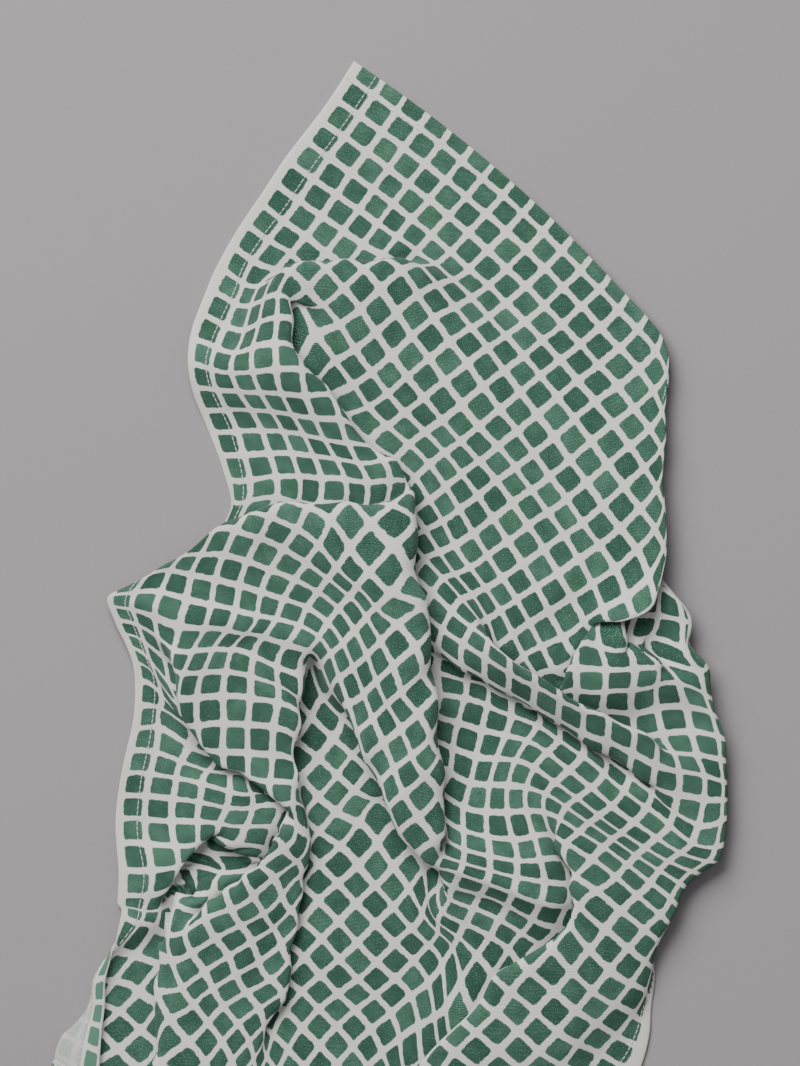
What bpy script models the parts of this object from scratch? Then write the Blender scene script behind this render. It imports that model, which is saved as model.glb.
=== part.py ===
"""A cotton tea towel, dropped in loose folds on a flat surface.

The towel is one rectangular panel, 455 mm by 699 mm.  Its print is a lattice of small
squares, and that lattice measures the cloth here: a place on the flat panel is given by
its printed row, counted down the left hem, and its printed column, counted from that hem.
The tables below say where rows and columns lie in the folded towel.  A smooth surface
through all of those places gives the folded sheet, its layers are then moved apart until
they clear one another, and the sheet is given its thickness.

Units are metres, +Z is up and +Y points along the towel, away from its lower hem.
"""
import math
from collections import namedtuple

import bpy
import numpy as np

# Sizes, in millimetres.
PITCH = 13.5                  # from one printed square to the next
FIRST_ROW = -0.2              # the upper hem cuts through the first printed row
LAST_ROW = 51.6
LEFT_HEM = -0.75              # white margin outside the first printed column
RIGHT_HEM = 33.0
THICKNESS = 1.2               # cotton twill with its hem, as a sheet
LAYER_GAP = 2.4               # between the middles of two layers that lie on each other
STRETCH_LIMIT = 1.04          # the weave gives this much before it pulls the folds along

# Cells of the modelled sheet along the rows' count and along the columns' count.
CELLS_DOWN = 62
CELLS_ACROSS = 42

# Places below are in pixels of a view straight down, 800 wide and 1066 high, y downward.
PIXEL = 0.5                   # millimetres for each pixel
MILLIMETRE = 0.001            # metres
SQUARE_PX = PITCH / PIXEL

COTTON_GREEN = (0.07, 0.16, 0.11, 1.0)
COTTON_ROUGHNESS = 0.9

# A section is a line of cloth between two places.  bow_x and bow_y shift its middle
# sideways in pixels, and rise lifts its middle in millimetres.  x and y are in pixels,
# z is the height of the cloth in millimetres.
Section = namedtuple(
    "Section",
    "row column x y z row_end column_end x_end y_end z_end bow_x bow_y rise",
    defaults=(0, 0, 0),
)

# A fold is one place on a line where cloth lies over cloth.  The over side is seen on top,
# the under side comes out below it, and the cloth between them is hidden.  top and foot are
# the heights of the two sides, bed is the height of what lies below the hidden cloth, and
# toward points from the line to the hidden cloth.  share shortens the hidden cloth's reach.
Fold = namedtuple(
    "Fold",
    "over_row over_column under_row under_column x y top foot bed toward_x toward_y share",
    defaults=(1.0,),
)

HEMS = (
    Section(-0.2, -0.75, 354, 61, 3, -0.2, 14.6, 663, 338, 7, 13, -9),
    Section(2, -0.75, 324, 107, 3, 10, -0.75, 212, 276, 2, -5, -2),
    Section(12, -0.75, 193, 325, 5, 15, -0.75, 195, 398, 5, -7, 1, 4),
    Section(16.5, -0.75, 209, 431, 2, 20, -0.75, 231, 508, 2),
    Section(30, -0.75, 117, 628, 5, 33, -0.75, 132, 670, 4),
    Section(35, -0.75, 131, 716, 4, 43, -0.75, 118, 901, 4, -8, 0),
    Section(9, 33, 640, 655, 4, 20, 33, 655, 845, 2, 8, -10),
    Section(24, 33, 625, 885, 2, 25.3, 33, 638, 930, 2),
    Section(26.6, 33, 655, 975, 2, 31, 33, 636, 1085, 2, 6, 0),
)

UPPER_PANEL = (
    Section(2, 2, 385, 150, 3, 2, 16, 651, 410, 9, 8, -12, -1),
    Section(4, 2, 355, 192, 2, 4, 18, 643, 488, 11, 7, -20, -1),
    Section(6, 0.3, 287, 208, 2, 6, 3, 345, 248, 2),
    Section(8, 0.3, 257, 248, 2, 12, 0.3, 216, 335, 5),
    Section(9, 1, 256, 277, 3, 12, 1, 233, 342, 7),
    Section(6, 8, 438, 301, 9, 6, 20, 632, 573, 14, 0, -3, -2.5),
    Section(8, 5, 345, 268, 15, 8, 10, 426, 378, 9, 1, 0, 0),
    Section(8, 12, 461, 425, 8, 8, 20, 588, 603, 13, 6, -8, -1),
    Section(10, 5, 305, 303, 15, 10, 10, 388, 409, 9, 1, 0, 1),
    Section(10, 12, 429, 448, 8, 10, 20, 543, 629, 11, 5, -2, -1),
    Section(11, 7, 321, 360, 12, 11, 9, 354, 402, 9),
    Section(12, 13, 417, 497, 7, 12, 19, 498, 627, 12, -4, -1, -1),
    Section(0.8, 15.6, 665, 380, 9, 4.7, 21.5, 668, 567, 14),
)

LEFT_LAP = (
    Section(10, 3, 274, 283, 15, 12.5, 3, 263, 344, 17, -3, 0),
    Section(13, 1, 222, 363, 11, 13, 3, 263, 358, 18),
    Section(13.6, 0.3, 208, 370, 10, 13.6, 4, 290, 371, 20, 0, 0, 2),
    Section(14.5, 1, 228, 390, 10, 14.5, 4.6, 309, 394, 18),
    Section(16, 1, 246, 419, 6, 16, 5, 332, 429, 14, 0, -3),
    Section(17.5, 0, 233, 454, 4, 17.5, 6, 371, 461, 14, 1, -5),
    Section(19, 0, 240, 491, 3, 19, 6, 380, 491, 13, 2, -4),
)

CAP_AND_RIBBON = (
    Section(22, 8, 369, 552, 22, 22, 9.5, 398, 583, 23),
    Section(23, 5, 290, 512, 20, 23, 10, 391, 611, 22),
    Section(24, 4, 253, 522, 18, 24, 9, 363, 602, 21, 3, -9),
    Section(24, 10, 377, 624, 22, 24, 13, 418, 697, 22),
    Section(25, 2.5, 207, 543, 11, 25, 8, 333, 593, 18, 0, -12),
    Section(25, 10, 367, 637, 21, 25, 15, 427, 760, 23, -5, 3),
    Section(26, 2, 185, 563, 9, 26, 8, 323, 606, 15, 0, -8),
    Section(26, 10, 354, 649, 19, 26, 16, 420, 797, 21),
    Section(27, 1, 155, 580, 7, 27, 8, 312, 622, 14, 2, -4),
    Section(27, 9, 331, 638, 16, 27, 17, 412, 838, 18),
    Section(28, 0, 120, 602, 6, 28, 8, 306, 638, 16, 8, 0),
    Section(28, 10, 329, 668, 15, 27.9, 11.5, 343, 704, 16),
    Section(24.6, 2.3, 209, 533, 12, 26.1, 0.8, 162, 566, 8),
    Section(27.1, -0.1, 124, 590, 6, 27.9, -0.75, 107, 599, 6),
    Section(23.9, -0.75, 193, 584, 3, 25.7, -0.2, 150, 592, 3),
)

LEFT_STRIP = (
    Section(29, 0, 125, 613, 6, 33, 0, 147, 670, 4),
    Section(35, 0, 147, 715, 4, 43, 0, 135, 902, 5, -9, -2),
    Section(35, 1, 167, 718, 4, 43, 1, 156, 902, 6),
    Section(37, 2, 191, 773, 6, 39.5, 2, 186, 821, 8),
    Section(37, 3, 219, 780, 8, 39.5, 3, 209, 822, 10),
    Section(37.5, 4, 243, 795, 9, 39.5, 4, 232, 826, 11),
    Section(44.6, 0.3, 138, 922, 7, 44.6, 1.3, 152, 924, 7),
    Section(45.4, 1.3, 134, 950, 2, 48, 4.3, 144, 1058, 2),
    Section(46.4, 2.1, 130, 985, 2, 47.5, 2.8, 125, 1019, 2),
    Section(46.2, 0.5, 96, 975, 4, 49.7, 1.6, 60, 1040, 4),
    Section(44.6, -0.75, 122, 913, 6, 46, -0.75, 109, 965, 6),
    Section(47.5, -0.75, 104, 1005, 5, 50, -0.75, 99, 1066, 5),
)

POCKET = (
    Section(28, 2.5, 182, 612, 10, 29, 2.5, 176, 640, 13),
    Section(29, 4, 209, 638, 12, 29, 8, 290, 657, 14, -4, -6),
    Section(30, 4, 198, 662, 14, 30, 7, 264, 671, 12),
    Section(31, 5, 211, 683, 13, 31, 8, 290, 697, 13),
    Section(32.5, 5, 212, 723, 13, 32.5, 7.5, 273, 727, 12),
    Section(34, 6, 237, 764, 11, 34, 8, 285, 768, 10),
)

LOWER_LEFT = (
    Section(35.9, 8.6, 296, 806, 13, 37, 8, 287, 830, 14),
    Section(37, 8.8, 297, 850, 12, 38, 10, 288, 876, 10),
    Section(38, 8, 272, 847, 13, 38, 9, 280, 865, 12),
    Section(38, 11, 293, 892, 8, 39, 12, 286, 925, 8),
    Section(39, 9, 256, 880, 13, 39, 11, 276, 917, 9),
    Section(40, 9, 238, 896, 12, 40, 13, 273, 965, 8, 2, -3),
    Section(41, 9, 214, 904, 12, 41, 15, 272, 1009, 8, 1, 2),
    Section(42, 9, 196, 915, 10, 42, 16, 260, 1041, 8, -3, 3),
    Section(43, 10, 175, 944, 9, 43, 16, 245, 1057, 9, -1, 2),
    Section(44, 11, 168, 981, 8, 44, 15, 221, 1060, 9),
    Section(45, 12, 162, 1015, 8, 45, 14, 188, 1060, 8),
)

HOLLOW = (
    Section(41, 4.9, 246, 849, 10, 40, 4.9, 257, 836, 11),
    Section(40, 4, 229, 832, 11, 39, 4, 238, 817, 10),
    Section(39, 5, 264, 816, 9, 38, 5, 266, 795, 7),
    Section(42, 6, 237, 864, 3, 43, 6, 211, 861, 3),
    Section(42, 7, 226, 881, 6, 43, 7, 202, 879, 4),
    Section(43, 8, 192, 902, 7, 44, 8, 173, 892, 3),
    Section(43, 9, 179, 919, 9, 44, 9.4, 164, 930, 6),
    Section(44, 7, 183, 872, 3, 43.4, 6.2, 198, 860, 2.5),
)

VALLEY = (
    Section(29, 10, 323, 684, 5, 30, 12, 351, 737, 3),
    Section(31, 12, 335, 757, 3, 31, 14, 372, 788, 3),
    Section(32, 12, 322, 777, 3, 33, 14, 338, 829, 3),
    Section(33, 16, 375, 868, 3, 33, 19, 427, 930, 4),
    Section(34, 15, 338, 866, 3, 34, 19, 412, 943, 3),
    Section(36, 16, 321, 920, 3, 36, 19, 376, 979, 3),
    Section(38, 17, 303, 975, 3, 40, 19, 303, 1047, 3, 8, 0),
    Section(33, 20.6, 449, 953, 4, 35, 21, 425, 1000, 3),
    Section(36, 21.3, 408, 1022, 3, 39, 22, 368, 1085, 2),
)

MIDDLE_SLOPE = (
    Section(19, 19, 482, 691, 3, 19, 24, 597, 758, 7, 2, -6),
    Section(19, 25, 617, 775, 7, 19, 29, 709, 841, 10),
    Section(20, 18.3, 459, 710, 3, 21, 18.3, 452, 735, 3),
    Section(21, 19.5, 481, 744, 3, 21, 22, 530, 752, 8),
    Section(21, 23.5, 561, 776, 9, 21, 28.5, 675, 858, 11, -3, 3),
    Section(23, 19, 458, 791, 5, 23, 22, 515, 798, 9),
    Section(23, 24, 551, 804, 11, 23, 29, 668, 885, 12, -2, -3),
    Section(25, 19, 453, 835, 9, 25, 22, 528, 851, 12),
    Section(24, 25, 562, 829, 13, 25, 26, 572, 857, 14),
    Section(25, 27, 596, 873, 14, 25, 29, 643, 914, 13),
    Section(27.5, 19, 447, 869, 12, 27.5, 23, 554, 904, 12),
    Section(29, 19, 441, 887, 9, 29, 23, 540, 933, 7, 1, -5),
    Section(31, 19, 432, 909, 5, 31, 22, 496, 950, 5, 0, -5),
    Section(27, 28, 588, 930, 14, 27, 29.3, 618, 957, 12),
    Section(29, 28, 553, 973, 14, 29, 29.3, 582, 999, 12),
    Section(31, 28, 517, 1013, 13, 31, 29.3, 546, 1040, 12),
)

RIGHT_EDGE = (
    Section(9, 30.2, 691, 612, 10, 14.5, 29.8, 725, 740, 10, 6, -6),
    Section(16.5, 29.6, 726, 783, 10, 18.5, 29.6, 725, 820, 10),
    Section(20.3, 30, 721, 860, 10, 24, 30, 675, 915, 11),
    Section(25, 30, 664, 931, 11, 31, 30, 561, 1052, 11),
    Section(28, 31.3, 641, 1003, 6, 30.5, 31.4, 596, 1052, 5),
    Section(28, 32.2, 643, 1011, 3, 30, 32.3, 629, 1058, 3),
)

RIGHT_BUNDLE = (
    Section(15, 18, 459, 630, 13, 14.2, 19.2, 485, 634, 17),
    Section(14, 17, 448, 592, 10, 14, 19, 485, 631, 16),
    Section(16, 18.5, 463, 654, 13, 16, 26, 647, 744, 17, -2, 9, 2),
    Section(17, 28, 694, 784, 11, 15.5, 28.5, 698, 756, 11),
    Section(18, 27, 665, 801, 9, 18, 28.5, 703, 813, 9),
    Section(11, 20, 526, 640, 10, 11, 22, 549, 684, 10),
    Section(9, 21, 582, 638, 12, 10, 21, 557, 654, 11),
    Section(11, 25, 589, 659, 18, 12.4, 25, 590, 692, 17),
    Section(10, 26, 610, 641, 19, 13, 26, 617, 702, 15, 3, -1, 1),
    Section(11, 27, 642, 657, 19, 13, 27, 645, 701, 15),
    Section(12, 28, 667, 676, 18, 13, 28, 668, 695, 16),
    Section(11.9, 29, 687, 679, 16, 13, 29, 698, 699, 13),
    Section(10.9, 29.8, 703, 663, 13, 11.9, 30, 712, 684, 11),
    Section(13.2, 25.6, 606, 706, 14, 13.4, 29, 702, 709, 13, 0, 1),
    Section(13.6, 26.4, 632, 717, 8, 13.7, 28.8, 698, 715, 9),
    Section(14, 27, 648, 726, 9, 14, 29, 704, 722, 10, 0, 1),
    Section(9, 29, 669, 604, 11, 10, 30, 692, 632, 11),
    Section(10, 28, 644, 627, 9, 10, 29, 667, 627, 10),
    Section(11, 29, 665, 650, 13, 10.8, 30, 691, 647, 13),
)

# The corner that is turned under the upper panel, and the end of the towel below the view.
UNSEEN = (
    Section(-0.2, 20, 594, 416, 3, -0.2, 26, 532, 508, 2),
    Section(-0.2, 33, 478, 600, 2, 4, 33, 545, 612, 2),
    Section(2, 24, 596, 486, 2, 3, 29, 560, 556, 4),
    Section(4.5, 25, 638, 515, 6, 5.5, 28.5, 622, 562, 4),
    Section(51.6, -0.75, 92, 1108, 4, 51.6, 2.3, 50, 1082, 3),
    Section(51.6, 4.5, 72, 1125, 1.5, 51.6, 8, 92, 1178, 1.5),
    Section(48, 14, 165, 1158, 8, 51.6, 14, 126, 1262, 5),
    Section(46, 16, 196, 1132, 3, 51.6, 16.5, 150, 1298, 2),
    Section(44, 19, 252, 1137, 8, 51.6, 19, 185, 1335, 9),
    Section(42, 22, 330, 1150, 3, 51.6, 22, 240, 1392, 2),
    Section(43, 24, 350, 1212, 9, 51.6, 24, 279, 1427, 9),
    Section(41, 26, 408, 1196, 5, 51.6, 26, 320, 1465, 2),
    Section(40, 28, 426, 1218, 7, 51.6, 28, 362, 1500, 8),
    Section(34, 30, 511, 1109, 8, 51.6, 30, 404, 1538, 2),
    Section(34, 33, 583, 1148, 2, 51.6, 33, 464, 1590, 3),
)

SHOULDER_PLEAT = (
    Fold(5.9, 5.9, 5.2, 5.2, 401, 256, 10, 5, 1, 0, 1),
    Fold(7.7, 4.7, 6.3, 3.3, 345, 258, 14, 3, 1, 0, 1),
    Fold(8.8, 3.8, 7.2, 2.2, 308, 261, 17, 3, 1, 0, 1),
    Fold(9.3, 3.0, 8.2, 1.7, 285, 266, 16, 3, 1, 0.3, 1),
)

MAIN_RIDGE = (
    Fold(10.6, 4.6, 10.9, 5.2, 290, 298, 17, 14, 3, -1, 0.2),
    Fold(11.5, 4.7, 11.1, 5.9, 292, 322, 17, 12, 3, -1, 0.2),
    Fold(13, 4.6, 11.2, 6.5, 301, 360, 18, 11, 2, -1, 0.3),
    Fold(14, 5.6, 11.4, 8.2, 329, 384, 18, 10, 2, -0.8, 0.6),
    Fold(15, 5.95, 11.4, 9.4, 345, 409, 17, 9, 1, -0.8, 0.6),
    Fold(17.5, 7, 11.4, 11.4, 396, 457, 17, 8, 1, -0.85, 0.5),
    Fold(19.3, 7.8, 11.9, 12.6, 414, 487, 18, 7, 1, -0.95, 0.3),
    Fold(21, 8.9, 13.2, 14.8, 419, 540, 20, 5, 1, -1, 0.2),
    Fold(22.3, 10.3, 15, 16.4, 427, 600, 21, 5, 1, -1, 0.25),
    Fold(23, 12, 17.4, 17.3, 433, 650, 21, 4, 1, -1, 0.3),
    Fold(23.7, 13.6, 19.8, 17.4, 439, 700, 21, 3, 1, -1, 0.3),
    Fold(25, 16.1, 22.6, 18.2, 445, 770, 20, 4, 1, -1, 0),
    Fold(26.1, 17.6, 25.5, 18.5, 446, 838, 17, 8, 1, -1, 0),
)

CAP_CREST = (
    Fold(20.1, 7.5, 19.4, 7.1, 399, 497, 19, 13, 6, 0, 1),
    Fold(21.6, 6.5, 19.4, 4.4, 345, 499, 20, 11, 5, 0.1, 1),
    Fold(22.5, 4.9, 19.6, 2, 290, 501, 20, 8, 4, 0, 1),
    Fold(23.1, 4.1, 20, 1.2, 262, 505, 18, 6, 3, 0, 1),
    Fold(24.1, 2.9, 20.3, -0.2, 228, 520, 13, 3, 1, -0.1, 1),
)

RIBBON_EDGE = (
    Fold(27.8, 12, 29.3, 12, 350, 720, 17, 4, 1, 1, 0),
    Fold(27.6, 13.4, 30.3, 13.2, 364, 760, 18, 3, 1, 1, 0),
    Fold(27.6, 15.2, 31.6, 15, 385, 803, 18, 3, 1, 1, 0.1, 0.8),
    Fold(27.6, 16.8, 31.8, 16, 402, 842, 16, 3, 1, 1, 0, 0.7),
    Fold(27.5, 18, 31.4, 17.4, 425, 866, 13, 4, 1, 0.9, -0.3, 0.7),
)

POCKET_LEFT = (
    Fold(30.3, 2.5, 30.6, 2.0, 172, 664, 14, 5, 1, 1, 0),
    Fold(31.5, 3, 31.6, 1.8, 177, 693, 14, 4, 1, 1, 0),
    Fold(32.3, 3.7, 33.2, 1.5, 184, 722, 13, 3, 1, 1, -0.1),
    Fold(33.3, 4.3, 35, 1.6, 200, 745, 12, 3, 1, 0.8, -0.5),
    Fold(34.5, 5.3, 36, 2.8, 222, 768, 11, 4, 1, 0.5, -0.8),
    Fold(34.8, 6.4, 36.6, 4.6, 249, 779, 11, 5, 1, 0.4, -0.9),
    Fold(35.3, 7.4, 37.3, 5.6, 272, 797, 12, 5, 1, 0.9, -0.4, 0.5),
    Fold(35.9, 8.1, 38.6, 5.9, 288, 811, 13, 5, 1, 1, 0.1, 0.15),
    Fold(36.8, 7.5, 39.4, 5.8, 279, 828, 13, 6, 1, 1, 0.3, 0.2),
    Fold(37.7, 7.5, 40.2, 5.6, 270, 845, 13, 6, 1, 0.9, 0.4, 0.3),
    Fold(38.2, 8.3, 41.4, 6, 262, 861, 13, 3, 1, 0.8, 0.5, 0.5),
    Fold(39.5, 8.5, 41.7, 6.8, 243, 876, 13, 4, 1, 0.7, 0.6, 0.7),
    Fold(40.5, 8.5, 42.2, 7.4, 224, 889, 12, 5, 1, 0.6, 0.7, 0.8),
    Fold(41.5, 8.7, 42.6, 8.2, 204, 903, 11, 6, 1, 0.6, 0.7),
)

POCKET_RIGHT = (
    Fold(28.8, 8.8, 29.5, 9.4, 308, 652, 15, 5, 1, -1, 0),
    Fold(30, 8.7, 30.1, 9.8, 303, 690, 14, 4, 1, -1, 0),
    Fold(32, 8.7, 31, 10.4, 301, 728, 13, 3, 1, -1, 0),
    Fold(34, 8.7, 32.3, 11.4, 300, 772, 11, 3, 1, -1, 0, 0.6),
    Fold(35.4, 9.2, 33, 12.4, 306, 806, 8, 3, 1, -1, 0.1, 0.1),
    Fold(36.4, 9.9, 33.8, 13.4, 312, 835, 7, 3, 1, -1, 0.1, 0.1),
    Fold(37, 10.6, 34.8, 14.2, 310, 864, 7, 3, 1, -1, 0.2, 0.2),
    Fold(37.7, 11.7, 35.8, 15, 304, 895, 7, 3, 1, -1, 0.3, 0.6),
    Fold(38.6, 12.8, 37, 15.6, 297, 931, 7, 3, 1, -1, 0.2),
    Fold(39.4, 14.1, 38.2, 16.2, 289, 966, 7, 3, 1, -1, 0.2),
    Fold(40.2, 15.2, 39.2, 17.2, 284, 1001, 7, 3, 1, -1, 0.2),
)

BAND_EDGE = (
    Fold(14.2, 20.3, 12.2, 19.9, 503, 654, 21, 11, 5, -0.5, 0.85),
    Fold(14.6, 21.3, 11.6, 21.3, 530, 672, 23, 11, 5, -0.5, 0.85),
    Fold(14.7, 21.8, 11.2, 21.8, 543, 679, 24, 11, 5, -0.5, 0.85),
    Fold(14.9, 22.9, 12.8, 24.2, 568, 697, 24, 14, 6, -0.5, 0.85),
    Fold(15.4, 24.2, 13.5, 25.4, 600, 712, 23, 11, 5, -0.4, 0.9),
    Fold(15.5, 26.1, 14.4, 27, 649, 735, 20, 11, 5, -0.3, 0.9),
)

BAND_FOOT = (
    Fold(17.1, 18.3, 18.0, 18.3, 466, 674, 7, 2, 1, 0.5, -0.85),
    Fold(17.3, 20, 18.4, 20, 498, 692, 6, 3, 1, 0.5, -0.85),
    Fold(17.4, 22, 18.4, 22, 548, 717, 7, 4, 1, 0.5, -0.85),
    Fold(17.4, 24, 18.4, 24, 592, 750, 9, 5, 1, 0.5, -0.85),
    Fold(17.4, 26, 18.3, 26, 641, 781, 10, 7, 1, 0.5, -0.85),
)

SHOULDER_EDGE = (
    Fold(7.9, 21.3, 9.8, 25.8, 601, 622, 17, 14, 5, 0.2, -0.95, 0.3),
    Fold(7.2, 22, 9.9, 27, 622, 622, 18, 11, 4, 0, -1, 0.7),
    Fold(6.5, 22.2, 9.6, 27.8, 639, 617, 19, 10, 4, -0.3, -0.95, 0.8),
    Fold(5.6, 22.1, 9.2, 28.4, 655, 606, 19, 10, 4, -0.3, -0.95, 0.7),
    Fold(5, 21.8, 8.6, 28.6, 661, 588, 18, 9, 4, -0.35, -0.9, 0.6),
)

POUCH_EDGE = (
    Fold(10.3, 24.7, 9.1, 21.2, 582, 642, 18, 12, 6, 1, 0.3, 0.5),
    Fold(10.8, 24.3, 9.6, 21.4, 572, 657, 18, 12, 6, 1, 0.2),
    Fold(11.5, 24, 10.3, 21.8, 566, 673, 18, 11, 6, 1, 0.2),
)

POUCH_TOP = (
    Fold(9.9, 26.1, 10.4, 26.7, 613, 637, 20, 11, 5, 0.2, 1),
    Fold(10.3, 26.5, 10.7, 27.4, 628, 645, 21, 10, 5, 0.2, 1),
    Fold(10.8, 27, 11.1, 28, 643, 652, 21, 10, 5, 0.1, 1),
    Fold(11.1, 27.9, 11.4, 28.8, 662, 659, 20, 11, 5, -0.1, 1),
)

LOWER_RIGHT_EDGE = (
    Fold(25.2, 24.8, 25.2, 23.3, 553, 850, 14, 11, 2, 1, 0.3),
    Fold(26, 26.5, 26.4, 23.4, 566, 883, 15, 9, 2, 1, 0.3),
    Fold(27, 27.3, 27.6, 23.7, 569, 906, 15, 8, 2, 1, 0.3),
    Fold(28, 27.3, 28.6, 23.7, 562, 928, 15, 6, 2, 0.9, 0.5),
    Fold(29, 27, 30, 23.6, 532, 951, 15, 5, 1, 0.6, 0.8),
    Fold(30.4, 26.6, 31.6, 22.5, 492, 975, 14, 5, 1, 0.6, 0.8),
    Fold(33, 26.2, 33.3, 22, 450, 1030, 12, 4, 1, 0.7, 0.7),
    Fold(35, 25.8, 36, 22.5, 412, 1072, 10, 3, 1, 0.7, 0.7),
)

SLIT = (
    Fold(41.5, 5.6, 41.4, 5.5, 258, 859, 9, 4, 1, 0, -1),
    Fold(41.3, 5, 41.9, 5.5, 241, 853, 9, 3, 1, 0.1, -1),
    Fold(40.9, 4.3, 42.2, 5.2, 222, 847, 10, 2.5, 1, 0.2, -1, 0.7),
    Fold(40.5, 3.2, 42.4, 5, 208, 838, 10, 2.5, 1, -0.6, -0.8, 0.8),
    Fold(41, 2.5, 43.1, 5.8, 194, 851, 10, 2.5, 1, -0.8, -0.5, 0.7),
    Fold(41.9, 1.9, 43.9, 6.7, 181, 866, 9, 2.5, 1, -0.9, -0.4, 0.5),
    Fold(42.7, 1.6, 44.3, 7.6, 170, 884, 8, 3, 1, -1, -0.2, 0.4),
)

PANEL_EDGE = (
    Fold(44.1, 9.3, 43.6, 1.6, 162, 908, 8, 5, 1, 1, 0, 0.7),
    Fold(44.1, 10.2, 44.8, 1.8, 158, 938, 8, 3, 1, 1, 0, 0.8),
    Fold(44.5, 11, 45.8, 2.5, 154, 975, 8, 2.5, 1, 1, 0, 0.8),
    Fold(45, 12, 46.8, 3.4, 151, 1015, 8, 2.5, 1, 1, 0, 0.7),
    Fold(45.6, 13.2, 48, 4.4, 149, 1060, 8, 2.5, 1, 1, 0, 0.45),
)

SECTION_TABLES = (HEMS, UPPER_PANEL, LEFT_LAP, CAP_AND_RIBBON, LEFT_STRIP, POCKET,
                  LOWER_LEFT, HOLLOW, VALLEY, MIDDLE_SLOPE, RIGHT_EDGE, RIGHT_BUNDLE, UNSEEN)
FOLD_TABLES = (SHOULDER_PLEAT, MAIN_RIDGE, CAP_CREST, RIBBON_EDGE, POCKET_LEFT, POCKET_RIGHT,
               BAND_EDGE, BAND_FOOT, SHOULDER_EDGE, POUCH_EDGE, POUCH_TOP,
               LOWER_RIGHT_EDGE, SLIT, PANEL_EDGE)

SECTION_SPACING = 2.6         # squares between the stations of one section
WALL_REACH = 5.0              # pixels from a crest to the foot of its wall, below the crest
WALL_CLEAR = 3.0              # least height of a crest's wall foot above the under side
# Heights of the hidden cloth above its bed: below the crest, on its way, at its turn, back.
HIDDEN_LAYERS = (5.2, 4.8, 3.0, 1.0)


def mix(start, end, t):
    """The value a share t of the way from start to end."""
    return start + (end - start) * t


def section_stations(section):
    """Stations along one section: row, column, x, y and z of each."""
    length = math.hypot(section.row_end - section.row, section.column_end - section.column)
    count = max(2, round(length / SECTION_SPACING) + 1)
    stations = []
    for t in np.linspace(0.0, 1.0, count):
        swell = 4.0 * t * (1.0 - t)
        stations.append((
            mix(section.row, section.row_end, t),
            mix(section.column, section.column_end, t),
            mix(section.x, section.x_end, t) + section.bow_x * swell,
            mix(section.y, section.y_end, t) + section.bow_y * swell,
            mix(section.z, section.z_end, t) + section.rise * swell,
        ))
    return stations


def fold_stations(fold):
    """Stations across one fold: its crest, its wall, the hidden cloth and its under side."""
    hidden_rows = fold.under_row - fold.over_row
    hidden_columns = fold.under_column - fold.over_column
    hidden_px = math.hypot(hidden_rows, hidden_columns) * SQUARE_PX
    norm = math.hypot(fold.toward_x, fold.toward_y)
    toward_x = fold.toward_x / norm
    toward_y = fold.toward_y / norm
    stations = [
        (fold.over_row, fold.over_column, fold.x, fold.y, fold.top),
        (fold.under_row, fold.under_column, fold.x, fold.y, fold.foot),
    ]
    heights = [fold.bed + layer for layer in HIDDEN_LAYERS]
    heights[0] = max(heights[0], min(fold.foot + WALL_CLEAR, 0.5 * (fold.foot + fold.top)))
    wall_px = abs(fold.top - heights[0]) / PIXEL
    reach = 0.5 * (hidden_px - wall_px)
    if reach < 0.3 * SQUARE_PX:
        return stations
    # Share of the hidden cloth used up at each station, and that station's reach.
    used = (wall_px, wall_px + 0.5 * reach, wall_px + reach, wall_px + 1.5 * reach)
    away = (WALL_REACH, 0.5 * reach * fold.share, reach * fold.share, 0.5 * reach * fold.share)
    for part, distance, height in zip(used, away, heights):
        t = part / hidden_px
        stations.append((
            fold.over_row + hidden_rows * t,
            fold.over_column + hidden_columns * t,
            fold.x + toward_x * distance,
            fold.y + toward_y * distance,
            height,
        ))
    return stations


def all_stations():
    """Every station of the towel, as one array with a row for each."""
    stations = []
    for table in SECTION_TABLES:
        for section in table:
            stations += section_stations(section)
    for table in FOLD_TABLES:
        for fold in table:
            stations += fold_stations(fold)
    return np.array(stations)


# ---- build: the surface through the stations, its layers moved apart, and the solid.

STATION_EASE = 0.02           # how far the surface may miss a station, to stay smooth
SETTLE_PASSES = 90
PAIRS_EVERY = 3               # passes between two searches for layers that lie on each other
SAME_SHEET_CELLS = 3          # cells this near on the flat cloth never count as two layers
BLOCK_CELLS = 3               # blocks of the cloth that agree on which of them lies on top
STEEPEST = 0.2                # flattest share of a wall that can still carry a layer
FLOOR = 0.5 * THICKNESS
RESTING = 0.35                # lower places than this lie flat on the ground
SINK = 2.2                    # the lowest cloth of the tables sinks this far towards the ground
SINK_BELOW = 8.0              # cloth above this height keeps the height of its table
DRIFT = 1.6                   # millimetres that settling may move the cloth sideways
TURNED_SHARE = 0.85           # a diagonal this much shorter than the other crosses a fold


def plate_kernel(points, centres):
    """Bending of a thin plate at points, for a push at each of centres."""
    squared = ((points[:, None, :] - centres[None, :, :]) ** 2).sum(axis=2)
    return 0.5 * squared * np.log(squared + 1e-12)


def surface_through(stations, cloth):
    """Places, in millimetres, of the cloth coordinates on a smooth sheet through stations."""
    centres = stations[:, :2]
    places = np.column_stack([
        stations[:, 2] * PIXEL,
        -stations[:, 3] * PIXEL,
        stations[:, 4],
    ])
    count = len(centres)
    flat = np.column_stack([np.ones(count), centres])
    matrix = np.zeros((count + 3, count + 3))
    matrix[:count, :count] = plate_kernel(centres, centres) + STATION_EASE * np.eye(count)
    matrix[:count, count:] = flat
    matrix[count:, :count] = flat.T
    weights = np.linalg.solve(matrix, np.vstack([places, np.zeros((3, 3))]))
    bent = plate_kernel(cloth, centres) @ weights[:count]
    return bent + np.column_stack([np.ones(len(cloth)), cloth]) @ weights[count:]


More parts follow.
